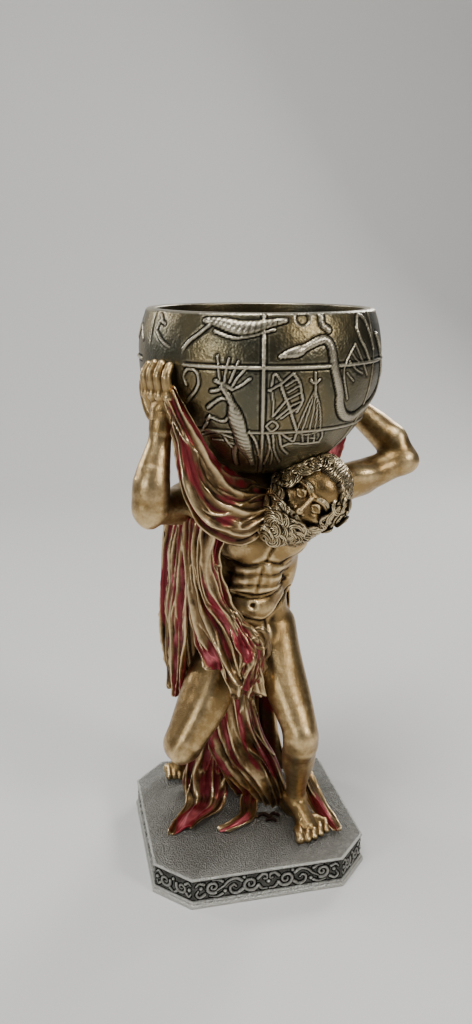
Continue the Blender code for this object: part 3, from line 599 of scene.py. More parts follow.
# net: rows of (x, y, z) from top to hem. size: rows and columns of the sheet. inside: a point behind it.
# crests: places across from top to hem, their heights there, and width. hem: longer or shorter across.
# ruffle: height and waves. slant and pleats: lean and number of the small folds. calm: how far down they end.
# pink: rounds of paint, as place across, place down, half width, half height
clothForm = {
    "swag": {
        "net": [[(-44, -39, 268), (-45, -40, 265), (-45.5, -38, 262), (-45, -34, 257)],
                [(-37.5, -41, 253), (-39, -43.5, 248), (-40, -44, 243), (-41, -38, 237)],
                [(-29, -34, 237), (-32, -43, 230), (-36, -46.5, 223), (-37, -42, 214)],
                [(-21, -29, 228), (-24, -41, 219), (-27, -46, 209), (-29, -41, 199)],
                [(-11, -23, 220), (-12, -36, 212), (-14, -42, 202), (-15, -36, 190)],
                [(-3, -19, 215), (-2, -30, 210), (-1, -36, 203), (-1, -32, 194)],
                [(8, -16, 210), (9, -22, 207), (9, -27, 203), (9, -24, 198)]],
        "size": (132, 86), "depth": 3.8, "thick": 2.4, "inside": (0, 0, 205),
        "crests": [([0.04, 0.05, 0.06, 0.08], [0.7, 0.9, 0.8, 0.5], 0.05),
                   ([0.27, 0.24, 0.26, 0.34], [1.2, 1.5, 1.4, 1.1], 0.075),
                   ([0.40, 0.40, 0.43, 0.47], [0.0, 0.3, 0.5, 0.2], 0.035),
                   ([0.52, 0.50, 0.56, 0.62], [0.5, 0.7, 1.3, 1.0], 0.06),
                   ([0.62, 0.63, 0.67, 0.72], [0.0, 0.2, 0.4, 0.3], 0.03),
                   ([0.74, 0.73, 0.79, 0.83], [0.8, 1.3, 1.3, 0.9], 0.06),
                   ([0.96, 0.95, 0.96, 0.96], [0.6, 1.0, 1.0, 0.9], 0.05)]},
    "sash": {
        "net": [[(-37, -25, 203), (-31, -32, 201), (-25, -35, 198), (-19, -32, 194)],
                [(-36, -21, 181), (-31, -28, 180), (-27, -31, 179), (-22, -26, 178)],
                [(-35, -19, 161), (-29, -26, 160), (-23, -28, 159), (-16, -22, 158)],
                [(-32, -18, 142), (-24, -27, 142), (-16, -28, 143), (-8, -23, 144)],
                [(-30, -19, 129), (-21, -28, 127), (-12, -31, 126), (-2, -25, 130)],
                [(-29, -21, 119), (-20, -29, 114), (-9, -31, 110), (2, -27, 104)]],
        "size": (132, 86), "depth": 3.8, "thick": 2.4, "inside": (-10, 0, 150), "ruffle": (1.8, 2.5),
        "hem": [-5, -3.5, -5, -2.5, -3.0, 1.0, 2.0], "slant": 0.35,
        "pink": [(0.24, 0.84, 0.13, 0.09), (0.62, 0.45, 0.05, 0.12)],
        "crests": [([0.05, 0.05, 0.05, 0.06], [0.7, 0.8, 0.8, 0.8], 0.045),
                   ([0.16, 0.14, 0.18, 0.36], [0.6, 0.9, 0.9, 0.3], 0.05),
                   ([0.30, 0.28, 0.36, 0.60], [0.9, 1.1, 1.6, 1.6], 0.075),
                   ([0.46, 0.44, 0.54, 0.72], [0.9, 0.9, 0.5, 0.2], 0.04),
                   ([0.64, 0.62, 0.74, 0.86], [1.1, 1.2, 1.2, 1.0], 0.055),
                   ([0.80, 0.79, 0.86, 0.93], [0.3, 0.6, 0.5, 0.3], 0.03),
                   ([0.96, 0.96, 0.96, 0.97], [0.9, 1.1, 1.3, 1.2], 0.045)]},
    "sideFall": {
        "net": [[(-38.5, 6, 200), (-34, -4, 202), (-30, -14, 202)],
                [(-41.5, 8, 181), (-37, -5, 181), (-32, -17, 181)],
                [(-43, 10, 160), (-38, -5, 160), (-33, -15, 160)],
                [(-44, 11, 136), (-39, -2, 137), (-33, -12, 138)],
                [(-41.5, 13, 112), (-39, 3, 112), (-34, -6, 116)],
                [(-38.5, 15, 91), (-37.5, 9, 90), (-35, 3, 93)]],
        "size": (120, 54), "depth": 3.0, "thick": 2.4, "inside": (0, 5, 150), "ruffle": (1.2, 2.0),
        "hem": [2.0, -2.0, 3.0, -1.0],
        "crests": [([0.05, 0.05, 0.05, 0.06], [0.7, 0.8, 0.9, 0.8], 0.06),
                   ([0.30, 0.38, 0.26, 0.34], [0.6, 1.4, 0.7, 0.6], 0.07),
                   ([0.52, 0.46, 0.48, 0.56], [1.0, 0.5, 1.4, 1.1], 0.07),
                   ([0.72, 0.66, 0.66, 0.78], [0.5, 1.2, 0.4, 0.4], 0.05),
                   ([0.95, 0.94, 0.95, 0.95], [0.9, 1.0, 1.0, 0.8], 0.055)]},
    "backFall": {
        "net": [[(-38, 6, 204), (-22, 13, 211), (4, 16, 213), (28, 14, 212), (46, 8, 209)],
                [(-43, 9, 184), (-24, 18, 188), (4, 22, 190), (26, 18, 188), (38, 11, 188)],
                [(-45, 11, 160), (-24, 21, 160), (2, 24, 160), (20, 20, 160), (27, 12, 162)],
                [(-46, 12, 132), (-24, 25, 132), (0, 28, 132), (19, 23, 132), (29, 14, 134)],
                [(-40, 16, 100), (-24, 29, 100), (-4, 32, 100), (14, 26, 100), (24, 16, 102)],
                [(-24, 20, 64), (-16, 31, 64), (-2, 35, 64), (13, 29, 64), (24, 20, 66)],
                [(-22, 24, 34), (-12, 34, 34), (2, 37, 34), (16, 31, 34), (29, 20, 34)],
                [(-24, 28, 18), (-12, 41, 18), (4, 45, 18), (21, 38, 18), (38, 24, 18)]],
        "size": (130, 112), "depth": 3.6, "thick": 2.4, "inside": (0, -10, 120),
        "crests": [([0.02 + 0.105 * k, 0.03 + 0.10 * k, 0.04 + 0.098 * k + 0.02 * (k % 2), 0.03 + 0.102 * k],
                    [(0.9, 0.6, 1.0)[k % 3], (1.0, 0.8, 0.7)[k % 3], (0.8, 1.1, 0.9)[k % 3], 1.0], 0.028)
                   for k in range(10)]},
    "frontFall": {
        "net": [[(-20, -8, 116), (-12, -11, 116), (-3, -11, 114), (6, -8, 112)],
                [(-22, -13, 98), (-14, -17, 97), (-6, -17, 95), (2, -13, 92)],
                [(-23, -8, 75), (-13, -14, 74), (-2, -15, 72), (8.5, -11, 70)],
                [(-18, -1, 55), (-9, -8, 54), (4, -10, 54), (16.5, -9, 52)],
                [(-10, 5, 38), (0, -2, 37), (11, -7, 36), (22, -8, 35)],
                [(-2, 7, 22), (7, 1, 21), (16, -4, 20), (25, -6, 19)]],
        "size": (124, 92), "depth": 3.4, "thick": 2.4, "inside": (0, 30, 70), "slant": 0.55, "pleats": 4,
        "pink": [(0.12, 0.55, 0.06, 0.25), (0.32, 0.30, 0.04, 0.3), (0.56, 0.34, 0.04, 0.3),
                 (0.80, 0.55, 0.03, 0.3)],
        "crests": [([-0.60, -0.34, -0.06, 0.08], [1.0, 1.0, 1.1, 1.2], 0.05),
                   ([-0.40, -0.14, 0.12, 0.25], [1.0, 1.1, 1.3, 1.1], 0.055),
                   ([-0.18, 0.05, 0.29, 0.41], [1.1, 1.4, 1.5, 1.2], 0.06),
                   ([-0.02, 0.22, 0.43, 0.54], [1.0, 1.3, 1.0, 1.2], 0.05),
                   ([0.20, 0.40, 0.57, 0.66], [1.2, 1.5, 1.5, 1.2], 0.06),
                   ([0.42, 0.56, 0.68, 0.76], [0.8, 1.2, 0.9, 0.9], 0.045),
                   ([0.62, 0.74, 0.82, 0.87], [1.0, 1.4, 1.3, 1.2], 0.055),
                   ([0.95, 0.95, 0.96, 0.97], [0.8, 0.9, 1.1, 1.0], 0.045)]},
    "tail": {
        "net": [[(-26, 3, 68), (-22, -1, 66), (-18, -2, 64), (-13, -2, 60)],
                [(-31, 12, 44), (-25, 7, 42), (-18, 5, 40), (-9, 5, 38)],
                [(-34, 13, 28), (-26, 7, 27), (-18, 4, 26), (-9, 3, 25)],
                [(-33, 6, 19.5), (-28, 1, 21.5), (-21, -3, 21.5), (-14, -4, 19)],
                [(-40, -6, 18.8), (-36, -9, 20.5), (-31, -11, 20.5), (-25, -9, 18.8)],
                [(-46, -16, 18.4), (-43, -18.5, 19), (-39, -19.5, 19), (-35, -17.5, 18.4)]],
        "size": (116, 54), "depth": 2.6, "thick": 2.0, "inside": (-10, 40, -20), "ruffle": (0.8, 1.5),
        "hem": [4.0, -1.0, -5.0, -1.0], "pink": [(0.45, 0.82, 0.3, 0.16)], "calm": 0.62,
        "crests": [([0.06, 0.06, 0.05, 0.06], [0.7, 0.9, 1.1, 1.4], 0.06),
                   ([0.34, 0.30, 0.36, 0.48], [0.9, 1.3, 0.8, 0.0], 0.06),
                   ([0.64, 0.66, 0.70, 0.75], [0.9, 1.1, 0.8, 0.1], 0.06),
                   ([0.95, 0.95, 0.95, 0.94], [0.8, 0.9, 1.1, 1.4], 0.055)]},
    "tongue": {
        "net": [[(4, 8, 27), (9, 6, 28), (14, 3, 26)],
                [(-2, 0, 20), (3, -1, 22.5), (7, -3, 20)],
                [(-5, -10, 18.6), (0, -11, 20.2), (4, -12, 18.6)],
                [(-11, -16, 18.4), (-7, -17.5, 19.6), (-2, -19, 18.4)],
                [(-20, -20, 18.2), (-18, -22, 18.8), (-15, -23.5, 18.2)]],
        "size": (70, 36), "depth": 2.0, "thick": 1.8, "inside": (0, 0, -30), "ruffle": (0.5, 1.0),
        "pink": [(0.5, 0.7, 0.3, 0.15)], "calm": 0.4,
        "crests": [([0.08, 0.07, 0.06, 0.08], [0.8, 0.9, 1.1, 1.2], 0.08),
                   ([0.50, 0.50, 0.45, 0.50], [0.7, 0.5, 0.2, 0.0], 0.08),
                   ([0.93, 0.93, 0.94, 0.92], [0.8, 0.9, 1.1, 1.2], 0.08)]},
    "rightTail": {
        "net": [[(30, 6, 40), (34, 5, 42), (39, 6, 38)],
                [(32, -5, 27), (37, -6, 30), (43, -4, 26)],
                [(36, -20, 20), (40, -21, 23), (45.5, -20, 20)],
                [(42.5, -35, 18.2), (44.5, -36, 19), (47, -36, 18.2)]],
        "size": (70, 38), "depth": 2.0, "thick": 1.8, "inside": (30, 0, 0), "ruffle": (0.5, 1.0), "calm": 0.3,
        "crests": [([0.07, 0.07, 0.06, 0.1], [0.8, 0.9, 1.0, 0.8], 0.08),
                   ([0.45, 0.42, 0.48, 0.50], [0.8, 0.9, 0.6, 0.3], 0.07),
                   ([0.93, 0.93, 0.94, 0.9], [0.8, 0.9, 1.1, 0.8], 0.08)]},
    "neckFall": {
        "net": [[(28, -3, 210), (36, -8, 212), (44, -5, 211)],
                [(31, -7, 222), (39, -12, 224), (47, -8, 223)],
                [(35, -11, 233), (43, -14, 235), (50, -8, 235)],
                [(40, -14, 240), (46, -15, 242), (51, -9, 241)]],
        "size": (60, 42), "depth": 2.2, "thick": 2.0, "inside": (20, 15, 225), "pink": [(0.5, 0.6, 0.3, 0.4)],
        "crests": [([0.06, 0.06, 0.06, 0.06], [0.9, 0.9, 0.9, 0.8], 0.07),
                   ([0.35, 0.32, 0.36, 0.40], [1.0, 1.0, 0.9, 0.6], 0.06),
                   ([0.64, 0.66, 0.64, 0.66], [0.8, 0.9, 0.9, 0.6], 0.06),
                   ([0.94, 0.94, 0.94, 0.94], [0.9, 0.9, 0.9, 0.8], 0.07)]},
    "innerFlap": {
        "net": [[(-17, -22, 150), (-14, -24, 149), (-10, -20, 149)],
                [(-15, -30, 139), (-8, -32, 137.5), (-3, -28, 139)],
                [(-12, -31, 130), (-4, -33, 129), (1.5, -28, 132)],
                [(-12, -32, 120), (-5, -34, 119), (3.5, -29, 124)],
                [(-11, -32, 111), (-6, -33.5, 109), (0, -29.5, 112)]],
        "size": (64, 40), "depth": 2.2, "thick": 1.8, "inside": (-5, 0, 130), "ruffle": (1.0, 1.5),
        "pink": [(0.30, 0.45, 0.15, 0.15)],
        "crests": [([0.1, 0.10, 0.12, 0.10], [0.6, 0.8, 0.9, 0.7], 0.08),
                   ([0.45, 0.55, 0.50, 0.45], [1.0, 0.9, 1.0, 0.9], 0.08),
                   ([0.92, 0.92, 0.92, 0.92], [1.0, 1.2, 1.0, 1.0], 0.08)]},
    "loinFlap": {
        "net": [[(-20, -25, 124), (-11, -27, 121), (-3, -27, 119), (4, -25, 114)],
                [(-19, -30, 117), (-11, -31, 113), (-4, -30, 113), (4, -27, 109)],
                [(-16, -31, 110), (-10.5, -31.5, 107), (-5, -31, 109), (3, -28, 104)],
                [(-14.5, -28, 106), (-10, -28, 103), (-5, -29, 105), (2.5, -27, 100.5)]],
        "size": (40, 44), "depth": 1.8, "thick": 1.8, "inside": (-8, 0, 112), "ruffle": (1.5, 2.0),
        "calm": 0.0,
        "crests": [([0.06, 0.06, 0.06, 0.06], [0.6, 0.8, 1.0, 1.1], 0.07),
                   ([0.38, 0.36, 0.33, 0.34], [0.5, 0.9, 1.2, 1.0], 0.08),
                   ([0.70, 0.68, 0.66, 0.68], [0.8, 0.9, 1.0, 1.1], 0.07),
                   ([0.94, 0.94, 0.94, 0.94], [0.8, 0.9, 1.1, 1.2], 0.07)]},
}
curlForm = [   # rolls and curls of the hem: (x, y, z, radius) along each
    [(-5, -28, 139.5, 1.2), (1.3, -29, 140.5, 1.7), (4.5, -28.5, 135.2, 1.7), (2.5, -29.5, 130.4, 1.5),
     (-2.3, -30.5, 132.6, 1.3), (-2.9, -30.5, 137, 1.1), (0.3, -30, 137.9, 0.7)],
    [(-9, -26, 143, 1.4), (-3, -28.5, 140, 2.0), (2, -29, 134, 1.6), (0.5, -29, 128, 2.1),
     (-5, -29.5, 125, 1.6),
     (-7, -30, 120, 2.2), (-2, -30.5, 116, 2.0), (1, -30, 111, 1.6), (-4, -30, 107, 1.2)],
    [(1, -27, 136, 1.2), (5.0, -27, 132, 1.9), (5.6, -27, 126, 1.7), (2.5, -28, 122.5, 1.7),
     (3.6, -28, 118, 1.6),
     (0.5, -28.5, 114, 1.3)],
    [(4, -14, 18.6, 0.9), (8, -13, 19.4, 1.2), (11, -15, 18.8, 1.1), (14, -13.5, 19.2, 1.1),
     (17, -15.5, 18.6, 0.8)],
    [(8, -18, 18.4, 0.8), (12, -18.5, 19.2, 1.1), (14, -20.5, 18.8, 0.8)],
    [(-31, 16, 26, 2.4), (-29, 18, 22, 3.0), (-31, 14, 19, 2.2)],
]


def clearOf(points, gap=0.4):
    # moved straight out of the globe and straight up off the deck
    away = points - globeCentre
    reach = np.linalg.norm(away, axis=-1, keepdims=True)
    points = np.where(reach < globeRadius + gap, globeCentre + away / reach * (globeRadius + gap), points)
    points[..., 2] = np.maximum(points[..., 2], deckHeight + gap)
    return points


def sheetNoise(a, b, c, seed, octaves):
    # noise at places worked out from where each point of a sheet is, across and down
    return noise(np.stack(np.broadcast_arrays(a, b, c), -1), 1.0, seed, octaves)


def drape(name, form, seed, material):
    # the net as a smooth sheet, lifted along its normal by depth times the ridge. the ridge is the sum of
    # height * exp(-|off / (1.05 width)|^1.2) over the crests, plus small pleats along the zero lines of a
    # stretched noise; a fine grain runs with the folds and broad dents lie on the crests. the front and the
    # back part by the thickness, which shrinks to nothing at the border. valley is 1 between folds and
    # 0 on them
    down, across = form["size"]
    grid = through(through(np.array(form["net"], float), down).transpose(1, 0, 2), across).transpose(1, 0, 2)
    normal = unit(np.cross(np.gradient(grid, axis=1), np.gradient(grid, axis=0)))
    if np.sum(normal * (grid - vec(*form["inside"]))) < 0:
        normal = -normal
    u, v = np.linspace(0, 1, across)[None, :], np.linspace(0, 1, down)[:, None]
    bend = u + 0.06 * sheetNoise(3 * v, 4 * u, seed, seed, 2)
    swell = 1 + 0.35 * sheetNoise(6 * u, 5 * v, 3.7, seed + 2, 2)
    ridge = np.zeros((down, across))
    for centres, heights, width in form["crests"]:
        centre = through(np.array(centres)[:, None], down)
        height = through(np.array(heights)[:, None], down)
        ridge = ridge + swell * height * np.exp(-np.abs((bend - centre) / (1.05 * width)) ** 1.2)
    slanted = form.get("pleats", 5.5) * (bend - form.get("slant", -0.3) * v)
    pleats = sheetNoise(slanted, 2.6 * v, 0, seed + 7, 2)
    calmFrom = form.get("calm", 3.0)
    calm = smooth(calmFrom, calmFrom - 0.3, v)
    ridge = ridge + 0.75 * calm * np.exp(-np.abs(pleats / 0.26)) * smooth(1.2, 0.2, ridge) - 0.15
    grain = sheetNoise(24 * bend, 3.5 * v, 0, seed + 5, 3)
    creases = sheetNoise(6 * bend + 2 * v, 8 * v - 3 * u, 0, seed + 9, 3)
    lift = form["depth"] * (ridge - 0.35) + 0.32 * grain + 0.8 * creases * smooth(0.0, 0.6, ridge) * calm
    height, turns = form.get("ruffle", (0, 0))
    lift = lift + height * smooth(0.8, 1.0, v) * np.sin(2 * np.pi * turns * u + seed)
    fall = unit(np.gradient(grid, axis=0))
    hem = through(np.array(form.get("hem", [0, 0, 0]), float)[:, None], across).T * smooth(0.7, 1.0, v)
    middle = grid + normal * lift[..., None] + fall * hem[..., None]
    rim = (np.sqrt(np.clip(1 - np.abs(2 * u - 1) ** 30, 0, 1))
           * np.sqrt(np.clip(1 - np.abs(2 * v - 1) ** 60, 0, 1)))
    half = normal * (form["thick"] / 2 * rim)[..., None]
    front, back = clearOf(middle + half), clearOf(middle - half)
    index = np.arange(down * across).reshape(down, across)
    under = index.copy()
    under[1:-1, 1:-1] = down * across + np.arange((down - 2) * (across - 2)).reshape(down - 2, across - 2)
    face = gridFaces(down, across)
    points = np.concatenate([front.reshape(-1, 3), back[1:-1, 1:-1].reshape(-1, 3)])
    faces = np.concatenate([face, under.ravel()[face][:, ::-1]])
    turned = np.cross(points[face[:, 2]] - points[face[:, 0]], points[face[:, 3]] - points[face[:, 1]])
    if np.sum(turned * normal.reshape(-1, 3)[face[:, 0]]) < 0:
        faces = faces[:, ::-1]
    edge = 0.75 * smooth(0.0, 0.35, np.minimum(u, 1 - u))
    valley = (1 - smooth(0.05, 1.2, ridge)) * (calm + (1 - calm) * edge)
    pink = 0 * valley
    for a, b, wide, tall in form.get("pink", []):
        pink = pink + 1.15 * np.exp(-(((u - a - 0.25 * (v - b)) / wide) ** 2 + ((v - b) / tall) ** 2))
    both = np.concatenate([valley.ravel(), valley[1:-1, 1:-1].ravel() * 0.7])
    spread = np.concatenate([pink.ravel(), 0 * pink[1:-1, 1:-1].ravel()])
    # the first term darkens the small hollows as patina and painted shade; the second darkens the valleys as
    # painted shade and lightens the crests as painted highlight, except where the pink paint lies
    hollow = 1.2 * hollowness(points, faces, 9) + (0.8 * (both - 0.40)) * np.clip(1 - spread, 0, 1)
    both = both + spread
    return makePiece(name, points, faces, material, "atlas_figure", {"hollow": hollow, "valley": both})


def tubes(paths, radii, outward=None, segments=8, flat=1.0, grooves=0.0):
    # rings round each path: its normal and side direction times the radius, with a cosine of grooves round it
    # paths: tubes x points x 3. each end is closed by a fan to one point
    count, length = paths.shape[:2]
    along = unit(np.gradient(paths, axis=1))
    outward = np.broadcast_to(vec(0.02, -1, 0.05) if outward is None else outward, paths.shape)
    side = unit(np.cross(along, outward))
    out = np.cross(side, along)
    angle = np.linspace(0, 2 * np.pi, segments, endpoint=False)
    girth = radii[..., None] * (1 + grooves * np.cos(4 * angle))
    ring = (paths[:, :, None] + side[:, :, None] * (girth * np.cos(angle))[..., None]
            + out[:, :, None] * (girth * np.sin(angle) * flat)[..., None])
    each = length * segments
    shell = gridFaces(length, segments, closeCols=True)[:, ::-1]
    turn = np.arange(segments)
    nextTurn = (turn + 1) % segments
    startFan = np.stack([turn, nextTurn, np.full(segments, each)], -1)
    endFan = np.stack([nextTurn + each - segments, turn + each - segments, np.full(segments, each + 1)], -1)
    ends = along[:, 0] * radii[:, :1] * 0.4, along[:, -1] * radii[:, -1:] * 0.4
    tips = np.stack([paths[:, 0] - ends[0], paths[:, -1] + ends[1]], 1)
    points = np.concatenate([ring.reshape(count, each, 3), tips], axis=1).reshape(-1, 3)
    shift = (np.arange(count) * (each + 2))[:, None, None]
    quads = (shell[None] + shift).reshape(-1, 4)
    fans = (np.concatenate([startFan, endFan])[None] + shift).reshape(-1, 3)
    return points, [quads, fans]


def rolls(name, forms, material):
    # each form is a smooth path whose radius swells and shrinks as listed. all are a little darker, and those
    # near the deck darker still, as painted shade where they lie on it
    runs = np.stack([through(form, 40) for form in forms])
    points, faces = tubes(runs[..., :3], runs[..., 3], segments=14, flat=0.8, grooves=0.05)
    points = clearOf(points, 0.3)
    hollow = hollowness(points, faces, 6) + 0.15 + 0.5 * smooth(27, 21, points[:, 2])
    return makePiece(name, points, faces, material, "atlas_figure",
                     {"hollow": hollow, "valley": np.zeros(len(points))})


def makeCloak(material):
    # every sheet of the table with a seed of its own, and the rolls of the hem
    made = [drape(name, form, 11 + 7 * k, material) for k, (name, form) in enumerate(clothForm.items())]
    return made + [rolls("hemCurls", curlForm, material)]


# hair, beard and brows

hairForm = {
    "rows": 7,               # rows of locks from the brow to the nape
    "length": (10.0, 14.0),  # of a lock, in head millimetres
    "radius": 1.5,
    "sideCurls": 60,         # spirals round each ear, from the temple to the jaw
    "beardLocks": 74,
    "moustache": [(0.6, -14.6, -7.4), (2.6, -14.3, -7.9), (4.8, -13.2, -9.2), (6.6, -12.2, -11.6),
                  (7.0, -12.6, -13.4)],
    "brow": [(1.6, -13.1, 3.7), (3.6, -13.3, 4.9), (6.0, -12.4, 5.2), (8.4, -10.6, 4.2)],
}


def scalpPoint(azimuth, height, lift=0.0):
    # the scalp ellipsoid from the angle round it (0 is the brow) and the angle above its waist, in radians
    centre, radii = headForm["scalp"]
    out = np.stack([np.sin(azimuth) * np.cos(height), -np.cos(azimuth) * np.cos(height),
                    np.sin(height) + 0 * azimuth], -1)
    return centre + out * radii + out * np.asarray(lift)[..., None]


def combed(name, paths, girths, material, strands=3, segments=5):
    # each lock as strands side by side, spread across it by its girth and a little higher in the middle.
    # bright where a strand faces outwards, as rubbed metal and painted highlight, and dark on its flanks and
    # between strands, as patina and painted shade
    paths, girths = clearOf(np.stack(paths), 0.8), headForm["size"] * np.stack(girths)
    out = unit(paths - headForm["centre"])
    side = unit(np.cross(np.gradient(paths, axis=1), out))
    share = (np.arange(strands) - (strands - 1) / 2) / (strands / 2)
    rise = random.uniform(-0.25, 0.25, (strands, len(paths), 1))
    lift = [0.35 * (1 - share[k]**2) + rise[k] for k in range(strands)]
    many = np.concatenate([paths + (side * share[k] + out * lift[k][..., None]) * girths[..., None]
                           for k in range(strands)])
    radii = np.tile(girths * 1.2 / strands, (strands, 1))
    points, faces = tubes(many, radii, unit(many - headForm["centre"]), segments, 1.3)
    points = clearOf(points, 0.35)
    # how far each point faces away from the head sets the painted highlight on the tops and the painted shade
    # on the flanks
    light = np.sum(pointNormals(points, faces) * unit(points - headForm["centre"]), axis=1)
    tone = np.tile(random.uniform(-0.10, 0.10, len(paths)), strands).repeat(paths.shape[1] * segments + 2)
    hollow = 0.28 - 0.86 * smooth(0.35, 1.0, light) + tone
    return makePiece(name, points, faces, material, "atlas_figure", {"hollow": hollow})


def spiral(root, out, turns, size, hand, start, bulge, t):
    # a ringlet in the plane across out: its radius shrinks from size towards its end, and its middle
    # stands out
    east = unit(np.cross(vec(0, 0, 1), out))
    north = np.cross(out, east)
    turn = hand * 2 * np.pi * turns * t**0.8 + start
    radius = size * (1 - 0.74 * t)
    return (root + east * (radius * np.cos(turn))[:, None] + north * (radius * np.sin(turn))[:, None]
            + out * (bulge * np.sin(np.pi * t) + 0.7 * t)[:, None])


def makeHair(material):
    # each lock starts on a row, runs back along the scalp with a wave in height and to the side, and tapers
    paths, girths = [], []
    t = np.linspace(0, 1, 15)
    for row in range(hairForm["rows"]):
        count = 17 + 2 * min(row, 3)
        for k in range(count):
            azimuth = (k + 0.5 * (row % 2) - (count - 1) / 2) / count * (2.7 + 0.60 * row)
            wobble = random.uniform(-1, 1, 4)
            high = hairline(azimuth) - 0.02 + 0.27 * row * (1 - 0.12 * abs(azimuth)) + 0.05 * wobble[0]
            length = random.uniform(*hairForm["length"]) / 14.0
            wave = 0.11 * np.sin(2 * np.pi * (1.25 * t + 0.5 * wobble[1])) * (0.2 + t)
            az = azimuth + wave + np.sign(azimuth) * 0.40 * t**1.3 * (0.7 + 0.3 * wobble[2])
            el = high + length * t * (1.0 - 0.50 * min(abs(azimuth), 1.7)) + 0.3 * wave
            lift = 2.0 * np.sin(np.pi * (0.03 + 0.94 * t))**0.8
            lift = lift + 0.5 * np.sin(3 * np.pi * t) + 0.5 * wobble[3] * t
            girth = hairForm["radius"] * (0.35 + 0.75 * np.sin(np.pi * (0.10 + 0.82 * t)))
            paths.append(onHead(scalpPoint(az, np.minimum(el, 2.6), lift)))
            girths.append(girth * (1.0 + 0.15 * wobble[1]))
    for side in (-1, 1):
        for k in range(hairForm["sideCurls"]):
            a = side * (0.82 + 2.1 * ((k * golden) % 1)**1.3)
            h = 0.40 - 1.35 * k / hairForm["sideCurls"] - 0.12 * (abs(a) - 1.9)
            root = scalpPoint(np.array(a), np.array(h),
                              np.array(0.3 + smooth(0.8, 1.5, abs(a)) * (k % 3) * 1.5))
            out = unit(root - vec(0, 2, 2))
            size, start = random.uniform(2.7, 3.7), random.uniform(0, 6.3)
            paths.append(onHead(spiral(root, out, 1.15, size, side * (1 if k % 2 else -1), start, 1.6, t)))
            girths.append(1.25 * (0.55 + 0.6 * np.sin(np.pi * (0.15 + 0.75 * t))))
    return [combed("hair", paths, girths, material), makeBeard(material)]


def makeBeard(material):
    # ringlets over the jaw and chin, in layers from the cheek down; then moustache and brows as fine strands
    paths, girths = [], []
    t = np.linspace(0, 1, 18)
    for k in range(hairForm["beardLocks"]):
        layer = k / hairForm["beardLocks"]
        across = ((k * golden) % 1) * 2 - 1
        a = across * (1.5 + 0.2 * layer)
        high = -8.6 - 10.6 * layer + 6.0 * abs(across)**1.5 * (1.0 - 0.35 * layer)
        high -= 2.4 if abs(across) < 0.25 else 0
        reach = 10.8 - 2.6 * layer**2 - 0.4 * abs(across)
        root = vec(np.sin(a) * (reach + 0.9), -np.cos(a) * (reach + 1.2) - 1.8, high)
        out = unit(vec(np.sin(a), -np.cos(a), -0.35 - 0.5 * layer))
        size, start = random.uniform(2.8, 3.8), random.uniform(0, 6.3)
        path = spiral(root, out, 1.15, size, 1 if k % 2 else -1, start, 1.6, t)
        paths.append(onHead(path - vec(0, 0, 1.3) * t[:, None]))
        girths.append(1.25 * (0.55 + 0.6 * np.sin(np.pi * (0.15 + 0.75 * t))))
    for side in (-1, 1):
        for strand in range(4):
            curve = np.array(hairForm["moustache"]) + vec(0, -0.25, 0.75) * (strand - 1.5) * 0.75
            curve = through(curve, len(t)) + vec(0, 0, 0.35) * np.sin(9 * t + strand)[:, None]
            paths.append(onHead(curve * vec(side, 1, 1)))
            girths.append(0.75 * np.sin(np.pi * (0.12 + 0.8 * t))**0.6)
        paths.append(onHead(through(np.array(hairForm["brow"]), len(t)) * vec(side, 1, 1)))
        girths.append(0.85 * np.sin(np.pi * (0.12 + 0.8 * t))**0.6)
    return combed("beard", paths, girths, material)


# the globe

